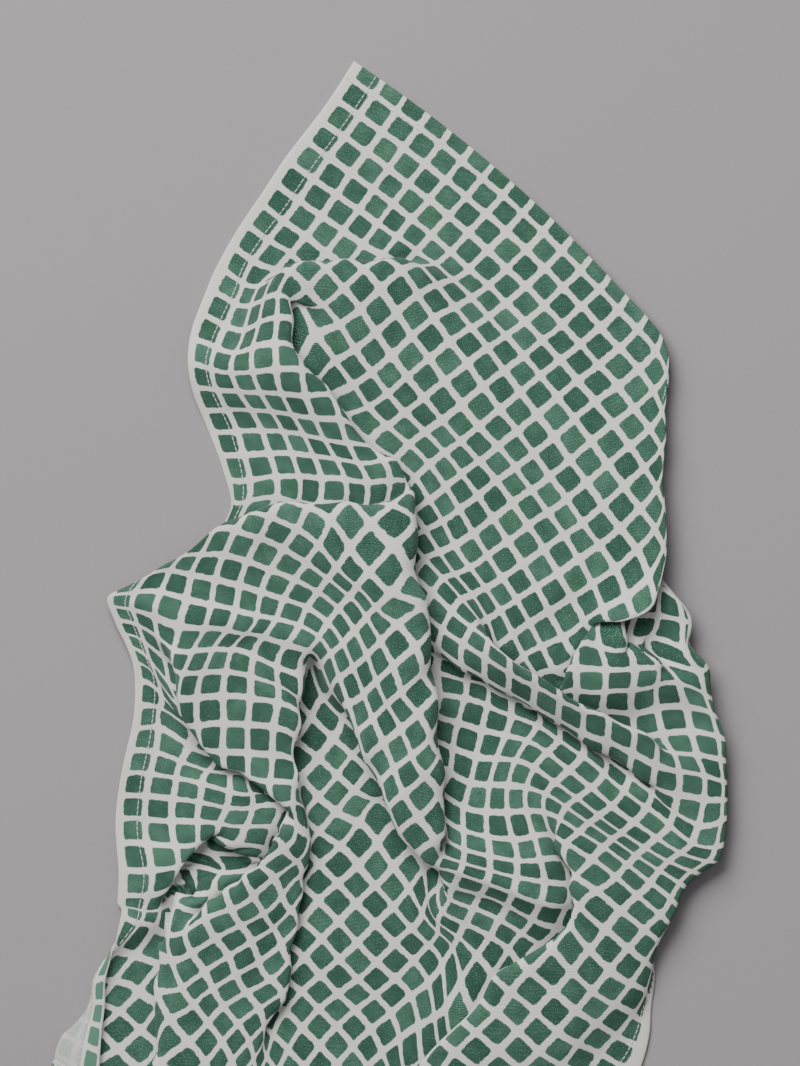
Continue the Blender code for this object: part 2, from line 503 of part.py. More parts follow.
def sheet_triangles(down, across):
    """Corner numbers of the sheet's triangles, and the cell that each lies in."""
    i, j = np.meshgrid(np.arange(down - 1), np.arange(across - 1), indexing="ij")
    corner = (i * across + j).ravel()
    first = np.stack([corner, corner + across, corner + across + 1], axis=1)
    second = np.stack([corner, corner + across + 1, corner + 1], axis=1)
    cells = np.stack([i.ravel(), j.ravel()], axis=1)
    return np.concatenate([first, second]), np.concatenate([cells, cells])


def lying_pairs(places, triangles, cells, across):
    """Each place of the sheet that lies straight over or under one of its triangles."""
    corners = places[triangles][:, :, :2]
    low = corners.min(axis=1)
    high = corners.max(axis=1)
    vertices = []
    faces = []
    for row in range(len(places) // across):
        spots = places[row * across:(row + 1) * across, :2]
        below = (low <= spots.max(axis=0)).all(axis=1)
        above = (high >= spots.min(axis=0)).all(axis=1)
        near = np.nonzero(below & above)[0]
        past_low = (spots[:, None] >= low[near]).all(axis=2)
        past_high = (spots[:, None] <= high[near]).all(axis=2)
        near_rows = np.abs(cells[near, 0] - row) <= SAME_SHEET_CELLS
        near_columns = np.abs(np.arange(across)[:, None] - cells[near, 1]) <= SAME_SHEET_CELLS
        found = np.nonzero(past_low & past_high & ~(near_rows & near_columns))
        vertices.append(found[0] + row * across)
        faces.append(near[found[1]])
    vertex = np.concatenate(vertices)
    face = np.concatenate(faces)
    first, second, third = (places[triangles[face, k]] for k in range(3))
    spot = places[vertex]
    side_a = second - first
    side_b = third - first
    offset = spot - first
    area = side_a[:, 0] * side_b[:, 1] - side_b[:, 0] * side_a[:, 1]
    safe = np.where(np.abs(area) > 1e-6, area, 1.0)
    weight_b = (offset[:, 0] * side_b[:, 1] - side_b[:, 0] * offset[:, 1]) / safe
    weight_c = (side_a[:, 0] * offset[:, 1] - offset[:, 0] * side_a[:, 1]) / safe
    weights = np.stack([1.0 - weight_b - weight_c, weight_b, weight_c], axis=1)
    normal = np.cross(side_a, side_b)
    level = np.abs(normal[:, 2]) / (np.linalg.norm(normal, axis=1) + 1e-12)
    kept = (np.abs(area) > 1e-6) & (weights.min(axis=1) > -0.02) & (level > STEEPEST)
    return vertex[kept], face[kept], weights[kept], level[kept]


def gaps_between(places, triangles, vertex, face, weights):
    """Height of each place above the triangle that it is paired with."""
    return places[vertex, 2] - (weights * places[triangles[face]][:, :, 2]).sum(axis=1)


def upper_signs(gaps, vertex, face, cells, across):
    """Plus one where the place belongs on top, agreed between whole blocks of the cloth."""
    row_block = vertex // across // BLOCK_CELLS
    column_block = vertex % across // BLOCK_CELLS
    face_blocks = cells[face] // BLOCK_CELLS
    key = ((row_block * 100 + column_block) * 100 + face_blocks[:, 0]) * 100 + face_blocks[:, 1]
    unique, group = np.unique(key, return_inverse=True)
    total = np.bincount(group, gaps, minlength=len(unique))
    return np.sign(total[group] + 1e-9)


def part_layers(places, triangles, pairs, signs):
    """Move layers that lie too close apart, half of the way each, in height."""
    vertex, face, weights, level = pairs
    gaps = gaps_between(places, triangles, vertex, face, weights)
    lack = np.maximum(LAYER_GAP / np.maximum(level, 0.6) - signs * gaps, 0.0)
    push = 0.5 * signs * lack
    total = np.zeros(len(places))
    share = np.zeros(len(places))
    pressed = (lack > 0.0).astype(float)
    np.add.at(total, vertex, push)
    np.add.at(share, vertex, pressed)
    for corner in range(3):
        np.add.at(total, triangles[face, corner], -push * weights[:, corner])
        np.add.at(share, triangles[face, corner], pressed * weights[:, corner])
    places[:, 2] += 0.8 * total / np.maximum(share, 1.0)
    places[:, 2] = np.maximum(places[:, 2], FLOOR)


def hold_edges(sheet, axis, rest):
    """Draw the ends of each thread between neighbouring places in, where it is overstretched."""
    for first in (0, 1):
        moved = np.moveaxis(sheet, axis, 0)
        near = moved[first:-1:2]
        far = moved[first + 1::2]
        far = far[:len(near)]
        span = far - near
        length = np.linalg.norm(span, axis=2, keepdims=True)
        over = np.maximum(length - rest * STRETCH_LIMIT, 0.0) / np.maximum(length, 1e-9)
        near += 0.25 * over * span
        far -= 0.25 * over * span


def even_out(change):
    """Spread each place's change a little over its neighbours on the cloth."""
    padded = np.pad(change, ((1, 1), (1, 1), (0, 0)), mode="edge")
    around = padded[:-2, 1:-1] + padded[2:, 1:-1] + padded[1:-1, :-2] + padded[1:-1, 2:]
    return 0.8 * change + 0.2 * 0.25 * around


def sunk(sheet):
    """The sheet with its lowest cloth let down onto the ground."""
    lower = sheet.copy()
    lower[:, :, 2] -= SINK * np.clip((SINK_BELOW - sheet[:, :, 2]) / (SINK_BELOW - 3.0), 0.0, 1.0)
    return lower


def table_sheet(rows, columns):
    """The smooth folded sheet of the tables on these grid lines, in millimetres."""
    grid = np.stack(np.meshgrid(rows, columns, indexing="ij"), axis=2)
    places = surface_through(all_stations(), grid.reshape(-1, 2))
    return sunk(places.reshape(len(rows), len(columns), 3))


def settled(table, rest_down, rest_across):
    """The table's sheet with its layers clear of each other and no thread overstretched."""
    down, across = table.shape[:2]
    triangles, cells = sheet_triangles(down, across)
    sheet = table.copy()
    sheet[:, :, 2] = np.maximum(sheet[:, :, 2], FLOOR)
    for step in range(SETTLE_PASSES):
        places = sheet.reshape(-1, 3)
        if step % PAIRS_EVERY == 0:
            pairs = lying_pairs(places, triangles, cells, across)
            gaps = gaps_between(places, triangles, *pairs[:3])
            signs = upper_signs(gaps, pairs[0], pairs[1], cells, across)
        part_layers(places, triangles, pairs, signs)
        hold_edges(sheet, 0, rest_down)
        hold_edges(sheet, 1, rest_across)
        change = even_out(sheet - table)
        drift = np.linalg.norm(change[:, :, :2], axis=2, keepdims=True)
        change[:, :, :2] *= DRIFT / np.maximum(drift, DRIFT)
        sheet = table + change
        sheet[:, :, 2] = np.maximum(sheet[:, :, 2], FLOOR)
    return sheet


def thick_places(sheet):
    """Places of the print side, and then of the under side, of the thick sheet."""
    normals = np.cross(np.gradient(sheet, axis=0), np.gradient(sheet, axis=1))
    normals /= np.linalg.norm(normals, axis=2, keepdims=True)
    offset = 0.5 * THICKNESS * normals
    places = np.concatenate([(sheet + offset).reshape(-1, 3), (sheet - offset).reshape(-1, 3)])
    places[:, 2] = np.where(places[:, 2] < RESTING, 0.0, places[:, 2])
    return places


def folded_triangles(sheet):
    """Corner numbers of the sheet's triangles, split along its folds and not across them."""
    down, across = sheet.shape[:2]
    corner = np.arange(down * across).reshape(down, across)[:-1, :-1].ravel()
    beside = corner + 1
    below = corner + across
    opposite = below + 1
    # A fold that runs along one diagonal of a cell draws the ends of the other one together.
    one_way = np.linalg.norm(sheet[1:, 1:] - sheet[:-1, :-1], axis=2).ravel()
    other_way = np.linalg.norm(sheet[1:, :-1] - sheet[:-1, 1:], axis=2).ravel()
    turned = one_way < TURNED_SHARE * other_way
    first = np.stack([corner, below, np.where(turned, beside, opposite)], axis=1)
    second = np.stack([np.where(turned, below, corner), opposite, beside], axis=1)
    return np.concatenate([first, second])


def rim_triangles(down, across):
    """Triangles of the narrow rim between the edges of the two sides, all the way round."""
    numbers = np.arange(down * across).reshape(down, across)
    edge = np.concatenate([
        numbers[:-1, 0],
        numbers[-1, :-1],
        numbers[:0:-1, -1],
        numbers[0, :0:-1],
    ])
    following = np.roll(edge, -1)
    edge_below = edge + down * across
    following_below = following + down * across
    return np.concatenate([
        np.stack([following, edge, edge_below], axis=1),
        np.stack([following, edge_below, following_below], axis=1),
    ])


def shift_to_origin(places):
    """The move that puts the middle of the towel's foot at the origin, in millimetres."""
    low = places.min(axis=0)
    high = places.max(axis=0)
    return -np.array([0.5 * (low[0] + high[0]), 0.5 * (low[1] + high[1]), low[2]])


# ---- solid: the thick sheet and the towel itself.

def closed_sheet():
    """Vertices, in metres, and faces of the whole towel."""
    rows = np.linspace(FIRST_ROW, LAST_ROW, CELLS_DOWN + 1)
    columns = np.linspace(LEFT_HEM, RIGHT_HEM, CELLS_ACROSS + 1)
    rest_down = (rows[1] - rows[0]) * PITCH
    rest_across = (columns[1] - columns[0]) * PITCH
    sheet = settled(table_sheet(rows, columns), rest_down, rest_across)
    places = thick_places(sheet)
    print_side = folded_triangles(sheet)
    under_side = print_side[:, ::-1] + len(rows) * len(columns)
    rim = rim_triangles(len(rows), len(columns))
    vertices = (places + shift_to_origin(places)) * MILLIMETRE
    return vertices, np.concatenate([print_side, under_side, rim])


def cotton_material():
    """Soft matt cotton in the green of the print."""
    material = bpy.data.materials.new("printed_cotton")
    material.use_nodes = True
    shader = material.node_tree.nodes["Principled BSDF"]
    shader.inputs["Base Color"].default_value = COTTON_GREEN
    shader.inputs["Roughness"].default_value = COTTON_ROUGHNESS
    return material


def main():
    for item in list(bpy.data.objects):
        bpy.data.objects.remove(item)
    vertices, faces = closed_sheet()
    mesh = bpy.data.meshes.new("cloth")
    mesh.from_pydata(vertices.tolist(), [], faces.tolist())
    mesh.materials.append(cotton_material())
    mesh.shade_smooth()
    mesh.update()
    cloth = bpy.data.objects.new("cloth", mesh)
    bpy.context.scene.collection.objects.link(cloth)


main()
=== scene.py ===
"""The finished look of a cotton tea towel, dropped in loose folds on a flat surface.

The towel is one printed panel, and its print measures the cloth: a place on the flat panel
is a printed row, counted down the left hem, and a printed column, counted from that hem.
The tables below are those of the towel's solid.  They say where rows and columns lie in the
folded towel.  Here the same surface is drawn on a fine grid, and gets its hems, stitches,
creases, weave and two-sided print.
"""

import math
from collections import namedtuple

import bpy
import numpy as np
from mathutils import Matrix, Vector, noise
from mathutils.bvhtree import BVHTree


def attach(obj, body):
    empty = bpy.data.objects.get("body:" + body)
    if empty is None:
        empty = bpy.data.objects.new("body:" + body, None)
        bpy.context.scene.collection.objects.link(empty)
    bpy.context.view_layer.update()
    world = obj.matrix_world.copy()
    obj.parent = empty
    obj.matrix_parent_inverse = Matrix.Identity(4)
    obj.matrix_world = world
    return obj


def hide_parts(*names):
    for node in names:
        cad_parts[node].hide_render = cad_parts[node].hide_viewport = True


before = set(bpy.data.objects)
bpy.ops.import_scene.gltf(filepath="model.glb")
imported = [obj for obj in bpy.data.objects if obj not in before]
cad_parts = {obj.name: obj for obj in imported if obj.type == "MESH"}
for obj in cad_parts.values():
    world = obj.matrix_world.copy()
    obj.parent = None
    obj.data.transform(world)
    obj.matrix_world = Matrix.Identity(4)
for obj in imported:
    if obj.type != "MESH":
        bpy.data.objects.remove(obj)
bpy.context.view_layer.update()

# Sizes, in millimetres.
PITCH = 13.5                  # from one printed square to the next
FIRST_ROW = -0.2              # the upper hem cuts through the first printed row
LAST_ROW = 51.6
LEFT_HEM = -0.75              # white margin outside the first printed column
RIGHT_HEM = 33.0
THICKNESS = 1.2               # cotton twill with its hem, as a sheet
LAYER_GAP = 2.4               # between the middles of two layers that lie on each other
STRETCH_LIMIT = 1.04          # the weave gives this much before it pulls the folds along

# Cells of the solid's sheet, down the rows and across the columns.
CELLS_DOWN = 62
CELLS_ACROSS = 42

# Places below are in pixels of a view straight down, 800 wide and 1066 high, y downward.
PIXEL = 0.5                   # millimetres for each pixel
MILLIMETRE = 0.001            # metres
SQUARE_PX = PITCH / PIXEL

# A section is a line of cloth between two places.  bow_x and bow_y shift its middle
# sideways in pixels, and rise lifts its middle in millimetres.  x and y are in pixels,
# z is the height of the cloth in millimetres.
Section = namedtuple(
    "Section",
    "row column x y z row_end column_end x_end y_end z_end bow_x bow_y rise",
    defaults=(0, 0, 0),
)

# A fold is one place on a line where cloth lies over cloth.  The over side is seen on top,
# the under side comes out below it, and the cloth between them is hidden.  top and foot are
# the heights of the two sides, bed is the height of what lies below the hidden cloth, and
# toward points from the line to the hidden cloth.  share shortens the hidden cloth's reach.
Fold = namedtuple(
    "Fold",
    "over_row over_column under_row under_column x y top foot bed toward_x toward_y share",
    defaults=(1.0,),
)

# A row for each section and then for each fold, under the part of the towel that they make.
SECTION_ROWS = (
    # the hems
    (-0.2, -0.75, 354, 61, 3, -0.2, 14.6, 663, 338, 7, 13, -9),
    (2, -0.75, 324, 107, 3, 10, -0.75, 212, 276, 2, -5, -2),
    (12, -0.75, 193, 325, 5, 15, -0.75, 195, 398, 5, -7, 1, 4),
    (16.5, -0.75, 209, 431, 2, 20, -0.75, 231, 508, 2),
    (30, -0.75, 117, 628, 5, 33, -0.75, 132, 670, 4),
    (35, -0.75, 131, 716, 4, 43, -0.75, 118, 901, 4, -8, 0),
    (9, 33, 640, 655, 4, 20, 33, 655, 845, 2, 8, -10),
    (24, 33, 625, 885, 2, 25.3, 33, 638, 930, 2),
    (26.6, 33, 655, 975, 2, 31, 33, 636, 1085, 2, 6, 0),
    # the upper panel
    (2, 2, 385, 150, 3, 2, 16, 651, 410, 9, 8, -12, -1),
    (4, 2, 355, 192, 2, 4, 18, 643, 488, 11, 7, -20, -1),
    (6, 0.3, 287, 208, 2, 6, 3, 345, 248, 2),
    (8, 0.3, 257, 248, 2, 12, 0.3, 216, 335, 5),
    (9, 1, 256, 277, 3, 12, 1, 233, 342, 7),
    (6, 8, 438, 301, 9, 6, 20, 632, 573, 14, 0, -3, -2.5),
    (8, 5, 345, 268, 15, 8, 10, 426, 378, 9, 1, 0, 0),
    (8, 12, 461, 425, 8, 8, 20, 588, 603, 13, 6, -8, -1),
    (10, 5, 305, 303, 15, 10, 10, 388, 409, 9, 1, 0, 1),
    (10, 12, 429, 448, 8, 10, 20, 543, 629, 11, 5, -2, -1),
    (11, 7, 321, 360, 12, 11, 9, 354, 402, 9),
    (12, 13, 417, 497, 7, 12, 19, 498, 627, 12, -4, -1, -1),
    (0.8, 15.6, 665, 380, 9, 4.7, 21.5, 668, 567, 14),
    # the left lap
    (10, 3, 274, 283, 15, 12.5, 3, 263, 344, 17, -3, 0),
    (13, 1, 222, 363, 11, 13, 3, 263, 358, 18),
    (13.6, 0.3, 208, 370, 10, 13.6, 4, 290, 371, 20, 0, 0, 2),
    (14.5, 1, 228, 390, 10, 14.5, 4.6, 309, 394, 18),
    (16, 1, 246, 419, 6, 16, 5, 332, 429, 14, 0, -3),
    (17.5, 0, 233, 454, 4, 17.5, 6, 371, 461, 14, 1, -5),
    (19, 0, 240, 491, 3, 19, 6, 380, 491, 13, 2, -4),
    # the peaked cap, and the ribbon that hangs from it
    (22, 8, 369, 552, 22, 22, 9.5, 398, 583, 23),
    (23, 5, 290, 512, 20, 23, 10, 391, 611, 22),
    (24, 4, 253, 522, 18, 24, 9, 363, 602, 21, 3, -9),
    (24, 10, 377, 624, 22, 24, 13, 418, 697, 22),
    (25, 2.5, 207, 543, 11, 25, 8, 333, 593, 18, 0, -12),
    (25, 10, 367, 637, 21, 25, 15, 427, 760, 23, -5, 3),
    (26, 2, 185, 563, 9, 26, 8, 323, 606, 15, 0, -8),
    (26, 10, 354, 649, 19, 26, 16, 420, 797, 21),
    (27, 1, 155, 580, 7, 27, 8, 312, 622, 14, 2, -4),
    (27, 9, 331, 638, 16, 27, 17, 412, 838, 18),
    (28, 0, 120, 602, 6, 28, 8, 306, 638, 16, 8, 0),
    (28, 10, 329, 668, 15, 27.9, 11.5, 343, 704, 16),
    (24.6, 2.3, 209, 533, 12, 26.1, 0.8, 162, 566, 8),
    (27.1, -0.1, 124, 590, 6, 27.9, -0.75, 107, 599, 6),
    (23.9, -0.75, 193, 584, 3, 25.7, -0.2, 150, 592, 3),
    # the left strip
    (29, 0, 125, 613, 6, 33, 0, 147, 670, 4),
    (35, 0, 147, 715, 4, 43, 0, 135, 902, 5, -9, -2),
    (35, 1, 167, 718, 4, 43, 1, 156, 902, 6),
    (37, 2, 191, 773, 6, 39.5, 2, 186, 821, 8),
    (37, 3, 219, 780, 8, 39.5, 3, 209, 822, 10),
    (37.5, 4, 243, 795, 9, 39.5, 4, 232, 826, 11),
    (44.6, 0.3, 138, 922, 7, 44.6, 1.3, 152, 924, 7),
    (45.4, 1.3, 134, 950, 2, 48, 4.3, 144, 1058, 2),
    (46.4, 2.1, 130, 985, 2, 47.5, 2.8, 125, 1019, 2),
    (46.2, 0.5, 96, 975, 4, 49.7, 1.6, 60, 1040, 4),
    (44.6, -0.75, 122, 913, 6, 46, -0.75, 109, 965, 6),
    (47.5, -0.75, 104, 1005, 5, 50, -0.75, 99, 1066, 5),
    # the pocket
    (28, 2.5, 182, 612, 10, 29, 2.5, 176, 640, 13),
    (29, 4, 209, 638, 12, 29, 8, 290, 657, 14, -4, -6),
    (30, 4, 198, 662, 14, 30, 7, 264, 671, 12),
    (31, 5, 211, 683, 13, 31, 8, 290, 697, 13),
    (32.5, 5, 212, 723, 13, 32.5, 7.5, 273, 727, 12),
    (34, 6, 237, 764, 11, 34, 8, 285, 768, 10),
    # the lower left panel
    (35.9, 8.6, 296, 806, 13, 37, 8, 287, 830, 14),
    (37, 8.8, 297, 850, 12, 38, 10, 288, 876, 10),
    (38, 8, 272, 847, 13, 38, 9, 280, 865, 12),
    (38, 11, 293, 892, 8, 39, 12, 286, 925, 8),
    (39, 9, 256, 880, 13, 39, 11, 276, 917, 9),
    (40, 9, 238, 896, 12, 40, 13, 273, 965, 8, 2, -3),
    (41, 9, 214, 904, 12, 41, 15, 272, 1009, 8, 1, 2),
    (42, 9, 196, 915, 10, 42, 16, 260, 1041, 8, -3, 3),
    (43, 10, 175, 944, 9, 43, 16, 245, 1057, 9, -1, 2),
    (44, 11, 168, 981, 8, 44, 15, 221, 1060, 9),
    (45, 12, 162, 1015, 8, 45, 14, 188, 1060, 8),
    # the hollow by the left hem
    (41, 4.9, 246, 849, 10, 40, 4.9, 257, 836, 11),
    (40, 4, 229, 832, 11, 39, 4, 238, 817, 10),
    (39, 5, 264, 816, 9, 38, 5, 266, 795, 7),
    (42, 6, 237, 864, 3, 43, 6, 211, 861, 3),
    (42, 7, 226, 881, 6, 43, 7, 202, 879, 4),
    (43, 8, 192, 902, 7, 44, 8, 173, 892, 3),
    (43, 9, 179, 919, 9, 44, 9.4, 164, 930, 6),
    (44, 7, 183, 872, 3, 43.4, 6.2, 198, 860, 2.5),
    # the valley
    (29, 10, 323, 684, 5, 30, 12, 351, 737, 3),
    (31, 12, 335, 757, 3, 31, 14, 372, 788, 3),
    (32, 12, 322, 777, 3, 33, 14, 338, 829, 3),
    (33, 16, 375, 868, 3, 33, 19, 427, 930, 4),
    (34, 15, 338, 866, 3, 34, 19, 412, 943, 3),
    (36, 16, 321, 920, 3, 36, 19, 376, 979, 3),
    (38, 17, 303, 975, 3, 40, 19, 303, 1047, 3, 8, 0),
    (33, 20.6, 449, 953, 4, 35, 21, 425, 1000, 3),
    (36, 21.3, 408, 1022, 3, 39, 22, 368, 1085, 2),
    # the middle slope
    (19, 19, 482, 691, 3, 19, 24, 597, 758, 7, 2, -6),
    (19, 25, 617, 775, 7, 19, 29, 709, 841, 10),
    (20, 18.3, 459, 710, 3, 21, 18.3, 452, 735, 3),
    (21, 19.5, 481, 744, 3, 21, 22, 530, 752, 8),
    (21, 23.5, 561, 776, 9, 21, 28.5, 675, 858, 11, -3, 3),
    (23, 19, 458, 791, 5, 23, 22, 515, 798, 9),
    (23, 24, 551, 804, 11, 23, 29, 668, 885, 12, -2, -3),
    (25, 19, 453, 835, 9, 25, 22, 528, 851, 12),
    (24, 25, 562, 829, 13, 25, 26, 572, 857, 14),
    (25, 27, 596, 873, 14, 25, 29, 643, 914, 13),
    (27.5, 19, 447, 869, 12, 27.5, 23, 554, 904, 12),
    (29, 19, 441, 887, 9, 29, 23, 540, 933, 7, 1, -5),
    (31, 19, 432, 909, 5, 31, 22, 496, 950, 5, 0, -5),
    (27, 28, 588, 930, 14, 27, 29.3, 618, 957, 12),
    (29, 28, 553, 973, 14, 29, 29.3, 582, 999, 12),
    (31, 28, 517, 1013, 13, 31, 29.3, 546, 1040, 12),
    # the right edge
    (9, 30.2, 691, 612, 10, 14.5, 29.8, 725, 740, 10, 6, -6),
    (16.5, 29.6, 726, 783, 10, 18.5, 29.6, 725, 820, 10),
    (20.3, 30, 721, 860, 10, 24, 30, 675, 915, 11),
    (25, 30, 664, 931, 11, 31, 30, 561, 1052, 11),
    (28, 31.3, 641, 1003, 6, 30.5, 31.4, 596, 1052, 5),
    (28, 32.2, 643, 1011, 3, 30, 32.3, 629, 1058, 3),
    # the bundle at the right
    (15, 18, 459, 630, 13, 14.2, 19.2, 485, 634, 17),
    (14, 17, 448, 592, 10, 14, 19, 485, 631, 16),
    (16, 18.5, 463, 654, 13, 16, 26, 647, 744, 17, -2, 9, 2),
    (17, 28, 694, 784, 11, 15.5, 28.5, 698, 756, 11),
    (18, 27, 665, 801, 9, 18, 28.5, 703, 813, 9),
    (11, 20, 526, 640, 10, 11, 22, 549, 684, 10),
    (9, 21, 582, 638, 12, 10, 21, 557, 654, 11),
    (11, 25, 589, 659, 18, 12.4, 25, 590, 692, 17),
    (10, 26, 610, 641, 19, 13, 26, 617, 702, 15, 3, -1, 1),
    (11, 27, 642, 657, 19, 13, 27, 645, 701, 15),
    (12, 28, 667, 676, 18, 13, 28, 668, 695, 16),
    (11.9, 29, 687, 679, 16, 13, 29, 698, 699, 13),
    (10.9, 29.8, 703, 663, 13, 11.9, 30, 712, 684, 11),
    (13.2, 25.6, 606, 706, 14, 13.4, 29, 702, 709, 13, 0, 1),
    (13.6, 26.4, 632, 717, 8, 13.7, 28.8, 698, 715, 9),
    (14, 27, 648, 726, 9, 14, 29, 704, 722, 10, 0, 1),
    (9, 29, 669, 604, 11, 10, 30, 692, 632, 11),
    (10, 28, 644, 627, 9, 10, 29, 667, 627, 10),
    (11, 29, 665, 650, 13, 10.8, 30, 691, 647, 13),
    # the corner turned under the upper panel, and the end below the view
    (-0.2, 20, 594, 416, 3, -0.2, 26, 532, 508, 2),
    (-0.2, 33, 478, 600, 2, 4, 33, 545, 612, 2),
    (2, 24, 596, 486, 2, 3, 29, 560, 556, 4),
    (4.5, 25, 638, 515, 6, 5.5, 28.5, 622, 562, 4),
    (51.6, -0.75, 92, 1108, 4, 51.6, 2.3, 50, 1082, 3),
    (51.6, 4.5, 72, 1125, 1.5, 51.6, 8, 92, 1178, 1.5),
    (48, 14, 165, 1158, 8, 51.6, 14, 126, 1262, 5),
    (46, 16, 196, 1132, 3, 51.6, 16.5, 150, 1298, 2),
    (44, 19, 252, 1137, 8, 51.6, 19, 185, 1335, 9),
    (42, 22, 330, 1150, 3, 51.6, 22, 240, 1392, 2),
    (43, 24, 350, 1212, 9, 51.6, 24, 279, 1427, 9),
    (41, 26, 408, 1196, 5, 51.6, 26, 320, 1465, 2),
    (40, 28, 426, 1218, 7, 51.6, 28, 362, 1500, 8),
    (34, 30, 511, 1109, 8, 51.6, 30, 404, 1538, 2),
    (34, 33, 583, 1148, 2, 51.6, 33, 464, 1590, 3),
)

